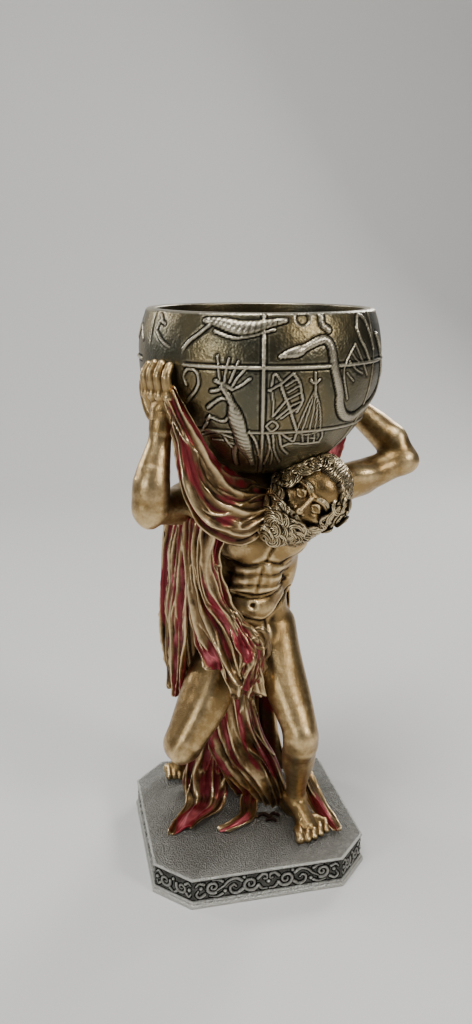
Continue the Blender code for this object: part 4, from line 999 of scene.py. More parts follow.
globeForm = {
    "wall": 4.5,
    "rim": 22.4,             # height of the rim above the centre
    "floorRadius": 20.0,
    "ringLift": 0.75,
    "meridians": [-102.5, -42.5, 17.5, 77.5, 137.5, 197.5],
    "rings": [(-0.6, 1.0), (-30.6, 0.7)],                     # latitude, share of the lift
    "columns": [(-195, 15, 344), (15, 165, 90)],              # from, to and how many: closer at the front
    "rows": (-52, 130, -89.4, 20),                            # closer above latitude -52 than below it
    "keepFree": [(-155.5, 15, -34, 5), (36, 18, -34, 5)],     # hands: longitude, half width, latitudes
    "dent": (-85.0, 19.6, 1.1),                               # longitude, latitude, depth
    "serpent": [(-95.5, 4, 0.9), (-92, 5, 1.9), (-88, 6, 2.4), (-84.5, 7.6, 1.6), (-79, 10, 1.8),
                (-75, 10.5, 1.9),
                (-72.6, 8, 2.0), (-71.6, 4, 2.1), (-70.6, -1, 2.1), (-68.4, -7, 2.2), (-66, -12.5, 2.2),
                (-64.4, -18, 2.3), (-59.5, -23.6, 2.3), (-51, -25.8, 2.2), (-43, -23.2, 2.1), (-34, -20, 1.9),
                (-26, -16.5, 1.8), (-24, -11, 1.7), (-28, -4, 1.6), (-34, 5, 1.5), (-38, 11, 1.3)],
    "strokes": [   # radius, then points of (longitude, latitude): -90 is the front
        (0.9, [(-56, 15), (-53, 20), (-48, 18), (-45, 11), (-43, 5)]),
        (0.9, [(-56, 15), (-54, 10), (-50, 5), (-47, 0)]),
        (0.57, [(-58, 8), (-63, 2), (-65, -2), (-64, -8), (-60, -16)]),
        (0.57, [(-58, 8), (-54, 2), (-48, -6)]),
        (0.49, [(-61, 5), (-57, 1), (-52, -1)]), (0.49, [(-62, 1), (-57, -3), (-52, -5)]),
        (0.41, [(-63, -4), (-58, -8)]),
        (0.66, [(-95, -8), (-93, -13), (-91, -17), (-88, -24), (-85, -30)]),
        (0.57, [(-100, -10), (-95, -7), (-90, -3)]), (0.41, [(-99, -10), (-98, -16), (-98, -22)]),
        (0.49, [(-99, -8), (-98, -3), (-95, -6)]),
        (0.66, [(-90, -3), (-87, -7), (-86, -11), (-85, -15), (-87, -20)]),
        (0.49, [(-92, -11), (-87, -8)]), (0.49, [(-92, -14), (-86, -11)]), (0.49, [(-90, -17), (-85, -15)]),
        (0.49, [(-89, -20), (-86, -17)]), (0.49, [(-93, -8), (-88, -5)]),
        (0.57, [(-98, -22), (-92, -14)]), (0.57, [(-96, -23), (-90, -17)]), (0.57, [(-94, -23), (-89, -19)]),
        (0.49, [(-101, -27), (-98, -24.4), (-95, -27), (-98, -29.6), (-101, -27)]),
        (0.66, [(-100, -31), (-98, -40), (-100, -54)]), (0.66, [(-94, -31), (-91, -40), (-86, -45)]),
        (0.57, [(-97, -32), (-95, -42), (-89, -52)]), (0.49, [(-99, -36), (-96, -44), (-95, -54)]),
        (0.66, [(-80, -3), (-79.6, -8), (-79, -12)]), (0.41, [(-80, -11), (-83, -20), (-85, -30)]),
        (0.41, [(-79, -11), (-78.6, -20), (-78, -30)]), (0.41, [(-79, -11), (-75, -20), (-71, -31)]),
        (0.41, [(-79.5, -11), (-81, -20), (-82, -30)]), (0.41, [(-79, -11), (-76.6, -20), (-74.6, -31)]),
        (0.57, [(-82, -6), (-80, -7.4), (-77.6, -6)]),
        (0.74, [(-91, -39), (-86, -37.4), (-77, -38.4), (-68, -38)]),
        (0.66, [(-93, -31), (-89, -34), (-85, -36), (-85, -30)]),
        (0.57, [(-85, -31), (-78, -32.6), (-71, -31), (-68, -34), (-68, -38)]),
        (0.49, [(-82, -31), (-79, -37)]),
        (0.49, [(-78, -32), (-75.6, -37.6)]), (0.49, [(-74, -32), (-71.6, -38)]),
        (0.49, [(-90, -33.6), (-72, -35.4)]),
        (0.57, [(-122, 4), (-121.6, -2), (-121, -7)]), (0.57, [(-117, 3), (-118.6, -3), (-119, -7)]),
        (0.57, [(-113, 2), (-115.6, -4), (-117, -7)]), (0.57, [(-110, -1), (-113.6, -5), (-116, -9)]),
        (0.57, [(-108, -5), (-112, -8), (-116, -10)]), (0.98, [(-123, -6.4), (-119, -8), (-116, -9.6)]),
        (0.9, [(-125.4, -11), (-122.6, -10.4), (-120, -9)]), (1.5, [(-120, -9), (-117.6, -13), (-116, -18)]),
        (0.82, [(-116, -15), (-121, -14), (-126, -17)]), (0.82, [(-117, -20), (-121, -25), (-128, -23)]),
        (0.98, [(-126, -17), (-128, -18.6)]), (0.98, [(-128, -23), (-129.6, -24.6)]),
        (1, [(-116.4, -16, 1.5), (-115.6, -20, 3.0), (-114.8, -24.5, 3.7), (-114, -29, 3.4),
             (-113.2, -34, 3.6),
             (-112.4, -39, 3.5), (-111, -44, 2.4), (-109.6, -49, 1.5), (-109, -54, 1.1)]),
             (1.1, [(-116, -38), (-119, -43), (-122, -55)]),
        (0.74, [(-123, -32), (-121, -38), (-118, -43)]), (0.66, [(-140, -30), (-136, -32), (-130, -26)]),
        (0.74, [(-135, -33), (-127, -31), (-118, -34)]), (0.57, [(-130, -36), (-124, -36), (-118, -38)]),
        (0.74, [(-138, -9), (-139, -5), (-136, -2), (-132, -3), (-131, -7), (-133, -11), (-137, -15),
                (-141, -19)]),
        (0.82, [(-141, 2.4), (-139, 6), (-136, 9.4), (-131, 13), (-126, 17)]),
        (0.98, [(-141, 4), (-142.6, 1.4), (-140, -1)]),
        (1, [(-129, 18.4, 1.2), (-124, 18, 2.0), (-118, 16.8, 2.9), (-112, 15.6, 3.2), (-106, 16.2, 2.8),
             (-100, 17.6, 1.9), (-93, 18.8, 1.1)]),
             (0.66, [(-124, 14), (-116, 11.6), (-108, 12.4), (-98, 15)]),
        (0.82, [(-158, 13), (-153, 9), (-147, 6)]), (0.74, [(-158, 13), (-156, 17), (-152, 16)]),
        (0.82, [(-157, 20), (-154, 16.6)]), (1.6, [(-76, 20.6), (-76, 17), (-73, 14.6)]),
        (0.74, [(-109, -30), (-106, -36), (-103, -49)]),
        # the side and the back, plainer
        (1.1, [(-3, 8), (4, 11), (12, 11), (18, 5), (18, 0), (13, -6), (8, -10)]),
        (0.66, [(2, 4), (8, 6), (13, 2)]),
        (0.82, [(-12, 14), (-6, 12), (0, 14), (4, 18)]), (1.8, [(-10, -16), (-4, -20), (3, -19)]),
        (0.74, [(50, 10), (55, 6), (60, 2), (66, 5), (70, 10), (64, 12), (50, 10)]),
        (0.57, [(55, 6), (66, 8)]),
        (2, [(92, 10), (97, 3), (102, -6)]), (0.98, [(102, -6), (107, 1), (112, 8)]),
        (0.82, [(92, 10), (102, 13), (112, 8)]),
        (0.82, [(98, -14), (105, -18), (112, -14), (112, -24), (105, -30), (98, -24), (98, -14)]),
        (1.8, [(134, -6), (138, 2), (142, 9), (150, 7), (156, 2)]), (0.98, [(156, 2), (154, -5), (150, -11)]),
        (0.74, [(70, -12), (76, -22), (84, -26), (88, -34)]), (0.9, [(60, -30), (66, -36), (74, -36)]),
        (0.82, [(124, -20), (130, -28), (140, -26), (146, -34)]),
        (0.66, [(170, 14), (176, 8), (182, 14), (188, 8)]),
    ],
}


def strokeRelief(height, groove, place, radius, path, scales=False):
    # height: a half round of the radius about the path, highest of all strokes. groove: a line sunk beside it
    path = np.asarray(path, float)
    radii = path[:, 2] if path.shape[1] > 2 else np.full(len(path), float(radius))
    line = onGlobe(path[:, 0], path[:, 1])
    fine = through(np.c_[line, radii], 4 * len(path) - 3)
    reach = fine[:, 3].max() + 2.4
    near = np.all((place > fine[:, :3].min(0) - reach) & (place < fine[:, :3].max(0) + reach), axis=-1)
    spots = np.nonzero(near)[0]
    p = place[spots]
    best, size, run = np.full(len(p), 99.0), np.ones(len(p)), np.zeros(len(p))
    side, travelled = np.zeros(len(p)), 0.0
    for a, b in zip(fine[:-1], fine[1:]):
        along = b[:3] - a[:3]
        span = np.linalg.norm(along) + 1e-9
        t = np.clip((p - a[:3]) @ along / span**2, 0, 1)
        away = np.linalg.norm(p - a[:3] - t[:, None] * along, axis=1)
        closer = away / (a[3] + t * (b[3] - a[3])) < best / size
        across = np.sum(np.cross(along / span, unit(p - globeCentre)) * (p - a[:3]), axis=1)
        best = np.where(closer, away, best)
        size = np.where(closer, a[3] + t * (b[3] - a[3]), size)
        run = np.where(closer, travelled + t * span, run)
        side = np.where(closer, across, side)
        travelled += span
    bump = size * np.clip(1 - (best / size) ** 2, 0, 1) ** 0.6 * np.where(size > 1.5, 0.5, 0.85)
    if scales:   # a net of two slanting waves
        net = np.sin(1.9 * run + 1.9 * side) * np.sin(1.9 * run - 1.9 * side)
        bump = bump + 0.22 * np.abs(net) * (best < size * 0.95)
    else:        # bands across the broader strokes
        bump = bump + 0.13 * np.sin(2.6 * run + 1.4 * side) * (size > 1.4) * (best < 0.9 * size)
    height[spots] = np.maximum(height[spots], bump)
    groove[spots] = np.maximum(groove[spots], 0.32 * np.exp(-((best - size - 0.35) / 0.4) ** 2))


def globeRelief(place, lon, lat):
    # the serpent and the strokes; then the meridians and rings, as ridges lift * exp(-(off / width)^4) with
    # a sunk line beside each; all of it faded out near the hands
    height, groove = np.zeros(len(place)), np.zeros(len(place))
    strokeRelief(height, groove, place, 1, globeForm["serpent"], scales=True)
    for radius, path in globeForm["strokes"]:
        strokeRelief(height, groove, place, radius, path)
    bare, degree = height < 0.15, globeRadius * np.pi / 180
    ridges = [(np.abs((lon - turn + 180) % 360 - 180) * np.cos(np.radians(lat)) * degree, 0.5 if k else 0.9,
               0.75,
               lat > -64) for k, turn in enumerate(globeForm["meridians"])]
    ridges += [(np.abs(lat - ring) * degree, strong, 0.7, True) for ring, strong in globeForm["rings"]]
    for off, strong, width, where in ridges:
        height = np.maximum(height, strong * globeForm["ringLift"] * np.exp(-(off / width) ** 4) * where)
        groove = np.maximum(groove, strong * 0.4 * np.exp(-((off - 1.35) / 0.4) ** 2) * bare)
    free = np.ones_like(height)
    for turn, width, low, high in globeForm["keepFree"]:
        off = np.abs((lon - turn + 180) % 360 - 180)
        beyond = np.maximum(smooth(high, high + 3, lat), smooth(-low, -low + 4, -lat))
        free = np.minimum(free, np.maximum(smooth(width, width + 4, off), beyond))
    return (height - groove * (height < 0.25)) * free


def makeGlobe(material):
    # longitude by profile: from the middle of the floor up the inside, over the rim and down the outside
    form = globeForm
    rim, inner, floorRadius = form["rim"], globeRadius - form["wall"], form["floorRadius"]
    rimAngle, mouthAngle = math.asin(rim / globeRadius), math.asin((rim - 0.7) / inner)
    longitude = np.concatenate([np.linspace(*span, endpoint=False) for span in form["columns"]])
    bend, above, lowest, below = form["rows"]
    latitude = np.concatenate([np.linspace(math.degrees(rimAngle) - 0.7, bend, above, endpoint=False),
                               np.linspace(bend, lowest, below)])
    lon, lat = (grid.ravel() for grid in np.meshgrid(longitude, latitude))
    place = onGlobe(lon, lat)
    out = unit(place - globeCentre)
    relief = globeRelief(place, lon, lat)
    skin = place + out * (relief + 0.10 * noise(place, 5.0, 3, 3))[:, None]
    turn, height, depth = form["dent"]
    near = np.linalg.norm(place - onGlobe(turn, height), axis=1)
    skin = skin - out * (depth * smooth(3.6, 2.4, near))[:, None]
    floorAngle = -math.acos(floorRadius / inner)
    floor, outerLip, innerLip = (inner * math.sin(floorAngle), globeRadius * math.cos(rimAngle),
                                 inner * math.cos(mouthAngle))
    profile = [(floorRadius * share, floor) for share in (0.02, 0.5, 0.94)]
    profile += [(floorRadius + 0.4, floor + 0.25)]
    profile += [(inner * math.cos(a), inner * math.sin(a))
                for a in np.linspace(floorAngle + math.radians(1.5), mouthAngle, 15)]
    profile += [(innerLip + 0.15, rim - 0.3), (innerLip + 0.7, rim), ((innerLip + outerLip) / 2, rim + 0.05),
                (outerLip - 0.75, rim), (outerLip - 0.15, rim - 0.35)]
    circle = np.stack([np.cos(np.radians(longitude)), np.sin(np.radians(longitude)), 0 * longitude], -1)
    rows = [globeCentre + r * circle + vec(0, 0, z) for r, z in profile]
    points = np.concatenate([*rows, skin, [globeCentre + vec(0, 0, floor),
                                           globeCentre - vec(0, 0, globeRadius)]])
    cols, inward = len(longitude), len(rows)
    faces = closedRings(inward + len(latitude), cols)
    middle = points[faces[0]].mean(1)
    cross = np.cross(points[faces[0][:, 2]] - points[faces[0][:, 0]],
                     points[faces[0][:, 3]] - points[faces[0][:, 1]])
    outward = (middle - globeCentre) * np.where(faces[0][:, :1] < inward * cols, -1, 1)
    if np.sum(cross * outward) < 0:
        faces = [group[:, ::-1] for group in faces]
    raised = np.concatenate([np.full(inward * cols, -0.2), relief, [-0.2, 0]])
    hollow = hollowness(points, faces, 5)
    hollow[(inward - 5) * cols:inward * cols] -= 0.5   # the five rings of the rim are rubbed bright
    hollow[:(inward - 5) * cols] = hollow[-2:] = 0.03
    return makePiece("globe", points, faces, material, "globe_bowl", {"hollow": hollow, "raised": raised})


# the plinth

plinthForm = {
    "width": 115.0, "depth": 112.0, "corner": 17.0,
    # profile and edge: how far out, how far up
    "profile": [(1.0, 0), (1.45, 0.4), (1.5, 1.2), (1.4, 2.3), (0.9, 3.0), (0.7, 3.6), (0.15, 4.0)],
    "edge": [(0.0, 15.7), (0.25, 15.85), (0.5, 16.1), (0.55, 16.5), (0.45, 16.8), (0.1, 17.0)],
    "band": (4.3, 15.4, 26),       # from, to, rows
    "columns": (184, 54),          # of a long side and of a cut corner
    "deck": 17.03,                 # height of the flat top
    # strokes of a side, from its middle, mirrored: radius at the start, at the end, points of (along, up)
    "scrolls": {
        "long": [
            (1.0, 0.5, "spiral", (9.6, 9.6), 4.4, 1.5, 200),
            (0.9, 0.4, "line", [(5.4, 8.0), (3.4, 5.6), (0.6, 5.2)]),
            (0.9, 0.5, "line", [(5.6, 12.2), (3.2, 14.4), (0.9, 13.6), (0.9, 11.4), (2.4, 11.4)]),
            (1.0, 0.45, "line", [(13.6, 7.4), (16.6, 5.4), (19.6, 6.2), (20.6, 9.0), (18.6, 10.6),
                                 (17.2, 9.2)]),
            (0.95, 0.4, "line", [(14.4, 12.6), (17.4, 14.4), (21.2, 13.4), (24.0, 10.6), (27.4, 8.4)]),
            (1.0, 0.45, "spiral", (29.6, 10.8), 3.6, 1.4, 250),
            (0.8, 0.3, "line", [(24.6, 6.2), (27.6, 5.0), (31.4, 5.6)]),
            (0.8, 0.3, "line", [(24.6, 13.6), (27.0, 14.8), (30.0, 14.8)]),
            (0.9, 0.4, "line", [(34.0, 7.0), (36.6, 5.6), (38.4, 7.4), (37.4, 9.4)]),
            (0.8, 0.4, "line", [(34.4, 13.2), (37.0, 14.0), (38.6, 12.2)]),
            (1.0, 1.0, "line", [(23.2, 7.6), (23.21, 7.61)]),
            (1.0, 1.0, "line", [(36.0, 11.0), (36.01, 11.01)]),
            (0.9, 0.9, "line", [(13.0, 14.3), (13.01, 14.31)]),
            (1.1, 1.1, "line", [(0.0, 9.6), (0.01, 9.61)]),
        ],
        "short": [
            (0.9, 0.4, "spiral", (5.2, 9.6), 3.4, 1.4, 160),
            (0.8, 0.4, "line", [(8.2, 7.4), (9.8, 6.0), (10.8, 7.6)]),
            (0.8, 0.4, "line", [(2.4, 6.6), (0.9, 5.2), (0.0, 5.0)]),
            (0.9, 0.9, "line", [(0.0, 12.8), (0.01, 12.81)]),
            (0.8, 0.4, "line", [(7.6, 12.6), (9.4, 14.0), (10.8, 12.8)]),
            (1.0, 1.0, "line", [(10.2, 10.2), (10.21, 10.21)]),
        ],
    },
}


def sideRelief(along, up, strokes):
    # the highest half round over all strokes of one side, and the fine cut beside each
    height, cut = np.zeros_like(along), np.zeros_like(along)
    for first, last, kind, *shape in strokes:
        if kind == "spiral":
            (x, y), size, turns, start = shape
            t = np.linspace(0, 1, 26)
            angle = np.radians(start) + 2 * np.pi * turns * t
            path = np.c_[x + size * (1 - 0.82 * t) * np.cos(angle), y + size * (1 - 0.82 * t) * np.sin(angle)]
        else:
            path = through(np.array(shape[0], float), 14)
        for mirror in (1, -1):
            line = path * np.array([mirror, 1])
            for k, (a, b) in enumerate(zip(line[:-1], line[1:])):
                radius = first + (last - first) * k / (len(line) - 1)
                near = np.nonzero((np.abs(along - a[0]) < radius + 2) & (np.abs(up - a[1]) < radius + 2))[0]
                step = b - a
                reach = step @ step + 1e-9
                t = np.clip(((along[near] - a[0]) * step[0] + (up[near] - a[1]) * step[1]) / reach, 0, 1)
                away = np.hypot(along[near] - a[0] - t * step[0], up[near] - a[1] - t * step[1])
                height[near] = np.maximum(height[near],
                                          radius * np.sqrt(np.clip(1 - (away / radius) ** 2, 0, 1)))
                cut[near] = np.maximum(cut[near], np.exp(-((away - radius - 0.25) / 0.35) ** 2))
    return height, cut


def makePlinth(material):
    # perimeter by profile. the walls between moulding and deck edge are lifted by the scrolls of their side
    form = plinthForm
    a, b, c = form["width"] / 2, form["depth"] / 2, form["corner"]
    corners = np.array([(-a + c, -b), (a - c, -b), (a, -b + c), (a, b - c), (a - c, b), (-a + c, b),
                        (-a, b - c), (-a, -b + c)])
    ends = np.roll(corners, -1, axis=0)
    counts = form["columns"] * 4
    share = [np.sort(np.r_[np.linspace(0, 1, n - 2, endpoint=False), 0.004, 0.996]) for n in counts]
    base = np.concatenate([p + (q - p) * t[:, None] for p, q, t in zip(corners, ends, share)])
    out = [unit(np.array([(q - p)[1], -(q - p)[0]])) for p, q in zip(corners, ends)]
    outward = np.concatenate([np.where((t < 0.004)[:, None], (o + w) / (1 + o @ w), o)
                              for o, w, t in zip(out, [out[-1]] + out[:-1], share)])
    along = np.concatenate([(t - 0.5) * np.linalg.norm(q - p) for p, q, t in zip(corners, ends, share)])
    kind = np.concatenate([np.full(len(t), k % 2) for k, t in enumerate(share)])
    low, high, rows = form["band"]
    band = [(0.0, z) for z in np.linspace(low, high, rows)]
    levels = np.array(form["profile"] + band + form["edge"])
    cols = len(base)
    s, z = np.tile(along, len(levels)), np.repeat(levels[:, 1], cols)
    height, cut = np.zeros(len(s)), np.zeros(len(s))
    for number, name in ((0, "long"), (1, "short")):
        pick = np.nonzero((np.tile(kind, len(levels)) == number) & (z >= low) & (z <= high))[0]
        height[pick], cut[pick] = sideRelief(s[pick], z[pick], form["scrolls"][name])
    inBand = (z >= low) & (z <= high)
    lift = np.repeat(levels[:, 0], cols) + np.where(inBand,
                                                    0.95 * height - 0.35 * cut * (height < 0.15) - 0.25, 0)
    flat = np.tile(base, (len(levels), 1)) + np.tile(outward, (len(levels), 1)) * lift[:, None]
    wall = np.c_[flat, z]
    deck = [np.c_[base * r, np.full(cols, form["deck"])] for r in (0.985, 0.8, 0.5, 0.2)]
    under = [np.c_[base * r, np.zeros(cols)] for r in (0.2, 0.6, 0.95)]
    points = np.concatenate([*under, wall, *deck, [[0, 0, 0], [0, 0, form["deck"]]]])
    faces = closedRings(len(under) + len(levels) + len(deck), cols)
    raised = np.zeros(len(points))
    wallEnd = (len(under) + len(levels)) * cols
    raised[len(under) * cols:wallEnd] = np.where(inBand, 0.6 * height - 0.45, 0.35)
    raised[wallEnd:] = 0.1
    return makePiece("plinthStone", points, faces, material, "plinth",
                     {"hollow": hollowness(points, faces, 4), "raised": raised})


# finishes: cast metal with a dark patina and painted shade in the hollows, and rubbed edges with painted
# highlights

def addNode(tree, kind, settings=None, **values):
    # a node with its settings and the values of its sockets; a value that is itself a socket is linked
    node = tree.nodes.new(kind)
    for key, value in (settings or {}).items():
        setattr(node, key, value)
    for key, value in values.items():
        socket = node.inputs[int(key[1:])] if key[1:].isdigit() else node.inputs[key.replace("_", " ")]
        if isinstance(value, bpy.types.NodeSocket):
            tree.links.new(value, socket)
        else:
            socket.default_value = value
    return node


def calc(tree, operation, *values):
    # one step of arithmetic; each value is a number or a socket
    values = {f"_{k}": value for k, value in enumerate(values)}
    return addNode(tree, "ShaderNodeMath", {"operation": operation}, **values).outputs[0]


def spread(tree, value, low, high, start=0.0, end=1.0):
    # start where the value is low, end where it is high, evenly between
    return addNode(tree, "ShaderNodeMapRange", _0=value, _1=low, _2=high, _3=start, _4=end).outputs[0]


def blend(tree, share, first, second):
    # the first colour where the share is 0, the second where it is 1
    return addNode(tree, "ShaderNodeMix", {"data_type": "RGBA"}, _0=share, _6=first, _7=second).outputs[2]


def cloud(tree, scale, detail, rough=0.5):
    # noise of the object's own coordinates
    coord = addNode(tree, "ShaderNodeTexCoord").outputs["Object"]
    return addNode(tree, "ShaderNodeTexNoise", Vector=coord, Scale=scale, Detail=detail,
                   Roughness=rough).outputs["Fac"]


def newGroup(name, inputs, outputs):
    # an empty shader group: its tree, its inputs by name, and its output node
    group = bpy.data.node_groups.new(name, "ShaderNodeTree")
    for direction, sockets in (("INPUT", inputs), ("OUTPUT", outputs)):
        for label, kind in sockets.items():
            group.interface.new_socket(name=label, in_out=direction, socket_type="NodeSocket" + kind)
    return group, group.nodes.new("NodeGroupInput").outputs, group.nodes.new("NodeGroupOutput").inputs


def makeWearAndShadeGroup():
    # hollow: 0 on the flat, + in hollows, - on ridges. the dark colour (patina and painted shade) grows with
    # hollow, the bright colour (rubbed metal and painted highlight) with the ridges, and two noises break
    # both up
    group, given, result = newGroup(
        "wearAndShade", {"Hollow": "Float", "Reach": "Float", "Base": "Color", "Dirt": "Color", "Rubbed": "Color",
                 "Patches": "Color"}, {"Color": "Color", "PatinaAndShade": "Float"})
    speck = calc(group, "MULTIPLY_ADD", cloud(group, 420.0, 4.0, 0.65), 0.9, -0.45)
    broken = calc(group, "ADD", calc(group, "DIVIDE", given["Hollow"], given["Reach"]), speck)
    patinaAndShade = spread(group, broken, 0.05, 1.0)
    colour = blend(group, spread(group, cloud(group, 38.0, 3.0), 0.40, 0.66), given["Base"], given["Patches"])
    colour = blend(group, spread(group, broken, -0.15, -1.1), colour, given["Rubbed"])
    group.links.new(blend(group, patinaAndShade, colour, given["Dirt"]), result["Color"])
    group.links.new(patinaAndShade, result["PatinaAndShade"])
    return group


def makeGrainGroup():
    # a broad noise for cast swellings, and a fine one with small pits for the tooth, summed to one height
    group, given, result = newGroup("grain", {"Coarse": "Float", "Fine": "Float", "Scale": "Float"},
                                    {"Height": "Float"})
    coord = addNode(group, "ShaderNodeTexCoord").outputs["Object"]
    swell = calc(group, "MULTIPLY", cloud(group, 130.0, 2.0), given["Coarse"])
    pits = addNode(group, "ShaderNodeTexVoronoi", Vector=coord, Scale=given["Scale"]).outputs["Distance"]
    tooth = calc(group, "ADD", cloud(group, given["Scale"], 3.0), pits)
    group.links.new(calc(group, "MULTIPLY_ADD", tooth, given["Fine"], swell), result["Height"])
    return group


# colours are linear. the dark colour stands for patina and painted shade, the rubbed one for rubbed metal and
# painted highlight. reach: how deep, in millimetres, a hollow is when it is quite dark. rough: where not
# darkened, and what the dark colour adds. lift: how much what is raised counts as a ridge
finishes = {
    "skin": {"base": (0.34, 0.222, 0.090), "patches": (0.25, 0.158, 0.064), "dirt": (0.035, 0.022, 0.012),
             "rubbed": (0.86, 0.65, 0.36), "reach": 0.34, "rough": (0.34, 0.3), "coarse": 0.7, "fine": 0.30,
             "scale": 1600.0,
             "bump": 0.22},
    "cloak": {"base": (0.22, 0.140, 0.062), "patches": (0.13, 0.078, 0.04), "dirt": (0.018, 0.010, 0.008),
              "rubbed": (0.68, 0.51, 0.29), "reach": 0.50, "rough": (0.32, 0.35), "coarse": 0.5, "fine": 0.10,
              "bump": 0.22},
    "hair": {"base": (0.17, 0.12, 0.06), "patches": (0.22, 0.16, 0.085), "dirt": (0.014, 0.010, 0.007),
             "rubbed": (0.74, 0.61, 0.38), "reach": 0.32, "rough": (0.32, 0.3), "coarse": 0.2, "fine": 0.08,
             "bump": 0.12},
    "globe": {"base": (0.098, 0.092, 0.062), "patches": (0.165, 0.128, 0.064), "dirt": (0.012, 0.011, 0.009),
              "rubbed": (0.46, 0.41, 0.31), "reach": 0.20, "lift": 0.09, "rough": (0.36, 0.3), "coarse": 0.4,
              "fine": 0.30, "bump": 0.30},
    "plinth": {"base": (0.205, 0.202, 0.182), "patches": (0.165, 0.160, 0.142), "dirt": (0.012, 0.012, 0.010),
               "rubbed": (0.52, 0.51, 0.46), "reach": 0.26, "lift": 0.36, "rough": (0.42, 0.3),
               "coarse": 0.15,
               "fine": 0.75, "scale": 1150.0, "bump": 0.85},
}


def attribute(tree, name):
    # a value stored at each point of the mesh
    return addNode(tree, "ShaderNodeAttribute", {"attribute_name": name}).outputs["Fac"]


def makeFinish(name, wearAndShade, grain, red=False, raised=False):
    # cast metal: colour and roughness from the wear and shade group, bump from the grain group
    form = finishes[name]
    material = bpy.data.materials.new(name)
    material.use_nodes = True
    tree = material.node_tree
    shader = tree.nodes["Principled BSDF"].inputs
    hollow = attribute(tree, "hollow")
    if raised:   # what stands up is rubbed bright on its top
        hollow = calc(tree, "MULTIPLY_ADD", attribute(tree, "raised"), -form["lift"], hollow)
    colours = {key.capitalize(): (*form[key], 1) for key in ("base", "dirt", "rubbed", "patches")}
    look = addNode(tree, "ShaderNodeGroup", {"node_tree": wearAndShade}, Hollow=hollow, Reach=form["reach"],
                   **colours)
    colour, patinaAndShade = look.outputs["Color"], look.outputs["PatinaAndShade"]
    shader["Metallic"].default_value = 1.0
    if red:      # wine-red paint left in the valleys of the folds, in patches, paler where it is thin
        valley = attribute(tree, "valley")
        amount = calc(tree, "ADD", valley, calc(tree, "MULTIPLY_ADD", cloud(tree, 42.0, 3.0), 2.6, -1.3))
        # the paint fades where patina and painted shade darken the metal
        undarkened = calc(tree, "MULTIPLY_ADD", patinaAndShade, -0.4, 1.0)
        painted = calc(tree, "MULTIPLY", spread(tree, amount, 0.52, 0.80), undarkened)
        thin = calc(tree, "MULTIPLY_ADD", valley, 0.22, cloud(tree, 75.0, 2.0))
        paint = blend(tree, spread(tree, thin, 0.72, 0.97), (0.19, 0.007, 0.016, 1), (0.62, 0.15, 0.17, 1))
        colour = blend(tree, painted, colour, paint)
        tree.links.new(spread(tree, painted, 0.0, 1.0, 1.0, 0.55), shader["Metallic"])
    tree.links.new(colour, shader["Base Color"])
    low, more = form["rough"]
    tree.links.new(calc(tree, "MULTIPLY_ADD", patinaAndShade, more, low), shader["Roughness"])
    height = addNode(tree, "ShaderNodeGroup", {"node_tree": grain}, Coarse=form["coarse"], Fine=form["fine"],
                     Scale=form.get("scale", 780.0)).outputs[0]
    bump = addNode(tree, "ShaderNodeBump", Strength=form["bump"], Distance=0.0012, Height=height)
    tree.links.new(bump.outputs[0], shader["Normal"])
    return material


wearAndShadeGroup, grainGroup = makeWearAndShadeGroup(), makeGrainGroup()
makeFigure(makeFinish("skin", wearAndShadeGroup, grainGroup))
makeCloak(makeFinish("cloak", wearAndShadeGroup, grainGroup, red=True))
makeHair(makeFinish("hair", wearAndShadeGroup, grainGroup))
makeGlobe(makeFinish("globe", wearAndShadeGroup, grainGroup, raised=True))
makePlinth(makeFinish("plinth", wearAndShadeGroup, grainGroup, raised=True))


# floor, lights and camera

stageForm = {   # millimetres, before the floor is moved back: where it starts, where it bends up, and its top
    "start": -1600, "bend": 300, "round": 420, "top": 1900, "half": 2500, "back": 500,
    "colour": (0.62, 0.61, 0.59, 1), "rough": 0.75,
}
lightForm = {   # place and aim in metres, size, watts, colour
    "skyTop": ((-0.25, -0.30, 1.45), (0, 0, 0.15), 0.75, 17, (1, 1, 1)),
    "frontRight": ((0.80, -0.95, 0.80), (0, 0, 0.15), 0.34, 9, (1, 0.97, 0.92)),
    "frontLeft": ((-1.1, -0.75, 0.50), (0, 0, 0.15), 0.28, 5.5, (0.95, 0.98, 1)),
    "rimRight": ((0.75, 0.75, 0.75), (0, 0, 0.2), 0.4, 7, (1, 1, 1)),
    "rimLeft": ((-0.9, 0.6, 0.6), (0, 0, 0.2), 0.3, 4, (1, 1, 1)),
}
worldForm = {"low": (0.03, 0.034, 0.03, 1), "high": (0.60, 0.62, 0.65, 1), "highFrom": 0.75, "strength": 0.42}
cameraForm = {"place": (-0.1013, -0.4230, 0.3197), "turn": (-12.77, 16.0, 0.19), "lens": 30.26}


def makeStage():
    # a pale floor that curves up behind: an L profile with a round corner, carried sideways
    form = stageForm
    t = np.linspace(0, 1, 40)
    angle = math.pi * (t - 0.5)
    away = np.where(t < 0.5, form["start"] + 2 * (form["bend"] - form["start"]) * t,
                    form["bend"] + form["round"] * np.sin(angle))
    up = np.where(t < 0.5, 0, form["round"] * (1 - np.cos(angle)))
    away, up = np.append(away, away[-1]) + form["back"], np.append(up, form["top"])
    x = np.linspace(-form["half"], form["half"], 5)
    points = np.stack([np.repeat(x, len(up)), np.tile(away, 5), np.tile(up, 5)], -1)
    mesh = bpy.data.meshes.new("floor")
    mesh.from_pydata((points * mm).tolist(), [], gridFaces(5, len(up)).tolist())
    mesh.shade_smooth()
    floor = bpy.data.objects.new("floor", mesh)
    bpy.context.scene.collection.objects.link(floor)
    paper = bpy.data.materials.new("paleFloor")
    paper.use_nodes = True
    shader = paper.node_tree.nodes["Principled BSDF"].inputs
    shader["Base Color"].default_value = form["colour"]
    shader["Roughness"].default_value = form["rough"]
    mesh.materials.append(paper)


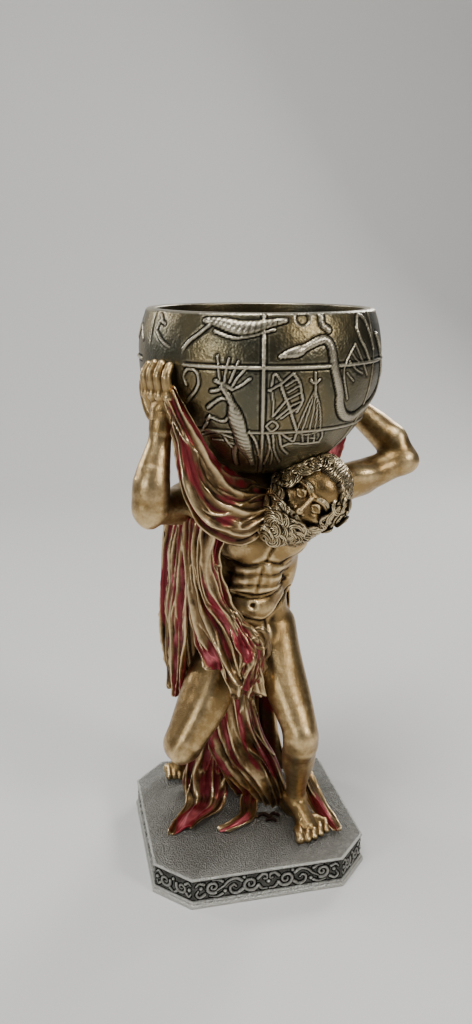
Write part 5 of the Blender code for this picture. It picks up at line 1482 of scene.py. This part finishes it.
def makeLights():
    # round lamps that look at their aim, and a sky that is dark below and pale above
    for name, (place, aim, size, power, colour) in lightForm.items():
        lamp = bpy.data.lights.new(name, "AREA")
        lamp.shape, lamp.size, lamp.energy, lamp.color = "DISK", size, power, colour
        holder = bpy.data.objects.new(name, lamp)
        holder.location = place
        holder.rotation_euler = (Vector(aim) - Vector(place)).to_track_quat("-Z", "Y").to_euler()
        bpy.context.scene.collection.objects.link(holder)
    world = bpy.data.worlds.new("studio")
    world.use_nodes = True
    bpy.context.scene.world = world
    nodes, links = world.node_tree.nodes, world.node_tree.links
    coord, split = nodes.new("ShaderNodeTexCoord"), nodes.new("ShaderNodeSeparateXYZ")
    ramp = nodes.new("ShaderNodeValToRGB")
    links.new(coord.outputs["Generated"], split.inputs[0])
    links.new(split.outputs["Z"], ramp.inputs[0])
    links.new(ramp.outputs[0], nodes["Background"].inputs[0])
    low, high = ramp.color_ramp.elements
    low.position, low.color = 0.0, worldForm["low"]
    high.position, high.color = worldForm["highFrom"], worldForm["high"]
    nodes["Background"].inputs[1].default_value = worldForm["strength"]
    print("made floor, lights and sky")


def makeCamera():
    # the photograph's viewpoint: yaw, pitch and roll turned into the camera's three axes
    yaw, pitch, roll = np.radians(cameraForm["turn"])
    ahead = vec(-np.sin(yaw) * np.cos(pitch), np.cos(yaw) * np.cos(pitch), -np.sin(pitch))
    side = vec(np.cos(yaw), np.sin(yaw), 0)
    above = np.cross(side, ahead)
    right = side * np.cos(roll) + above * np.sin(roll)
    up = above * np.cos(roll) - side * np.sin(roll)
    data = bpy.data.cameras.new("camera")
    data.lens, data.sensor_width, data.clip_start = cameraForm["lens"], 36, 0.01
    camera = bpy.data.objects.new("camera", data)
    axes = np.stack([right, up, -ahead], 1).tolist()
    rows = [[*row, place] for row, place in zip(axes, cameraForm["place"])]
    camera.matrix_world = Matrix(rows + [[0, 0, 0, 1]])
    bpy.context.scene.collection.objects.link(camera)
    bpy.context.scene.camera = camera


makeStage()
makeLights()
makeCamera()
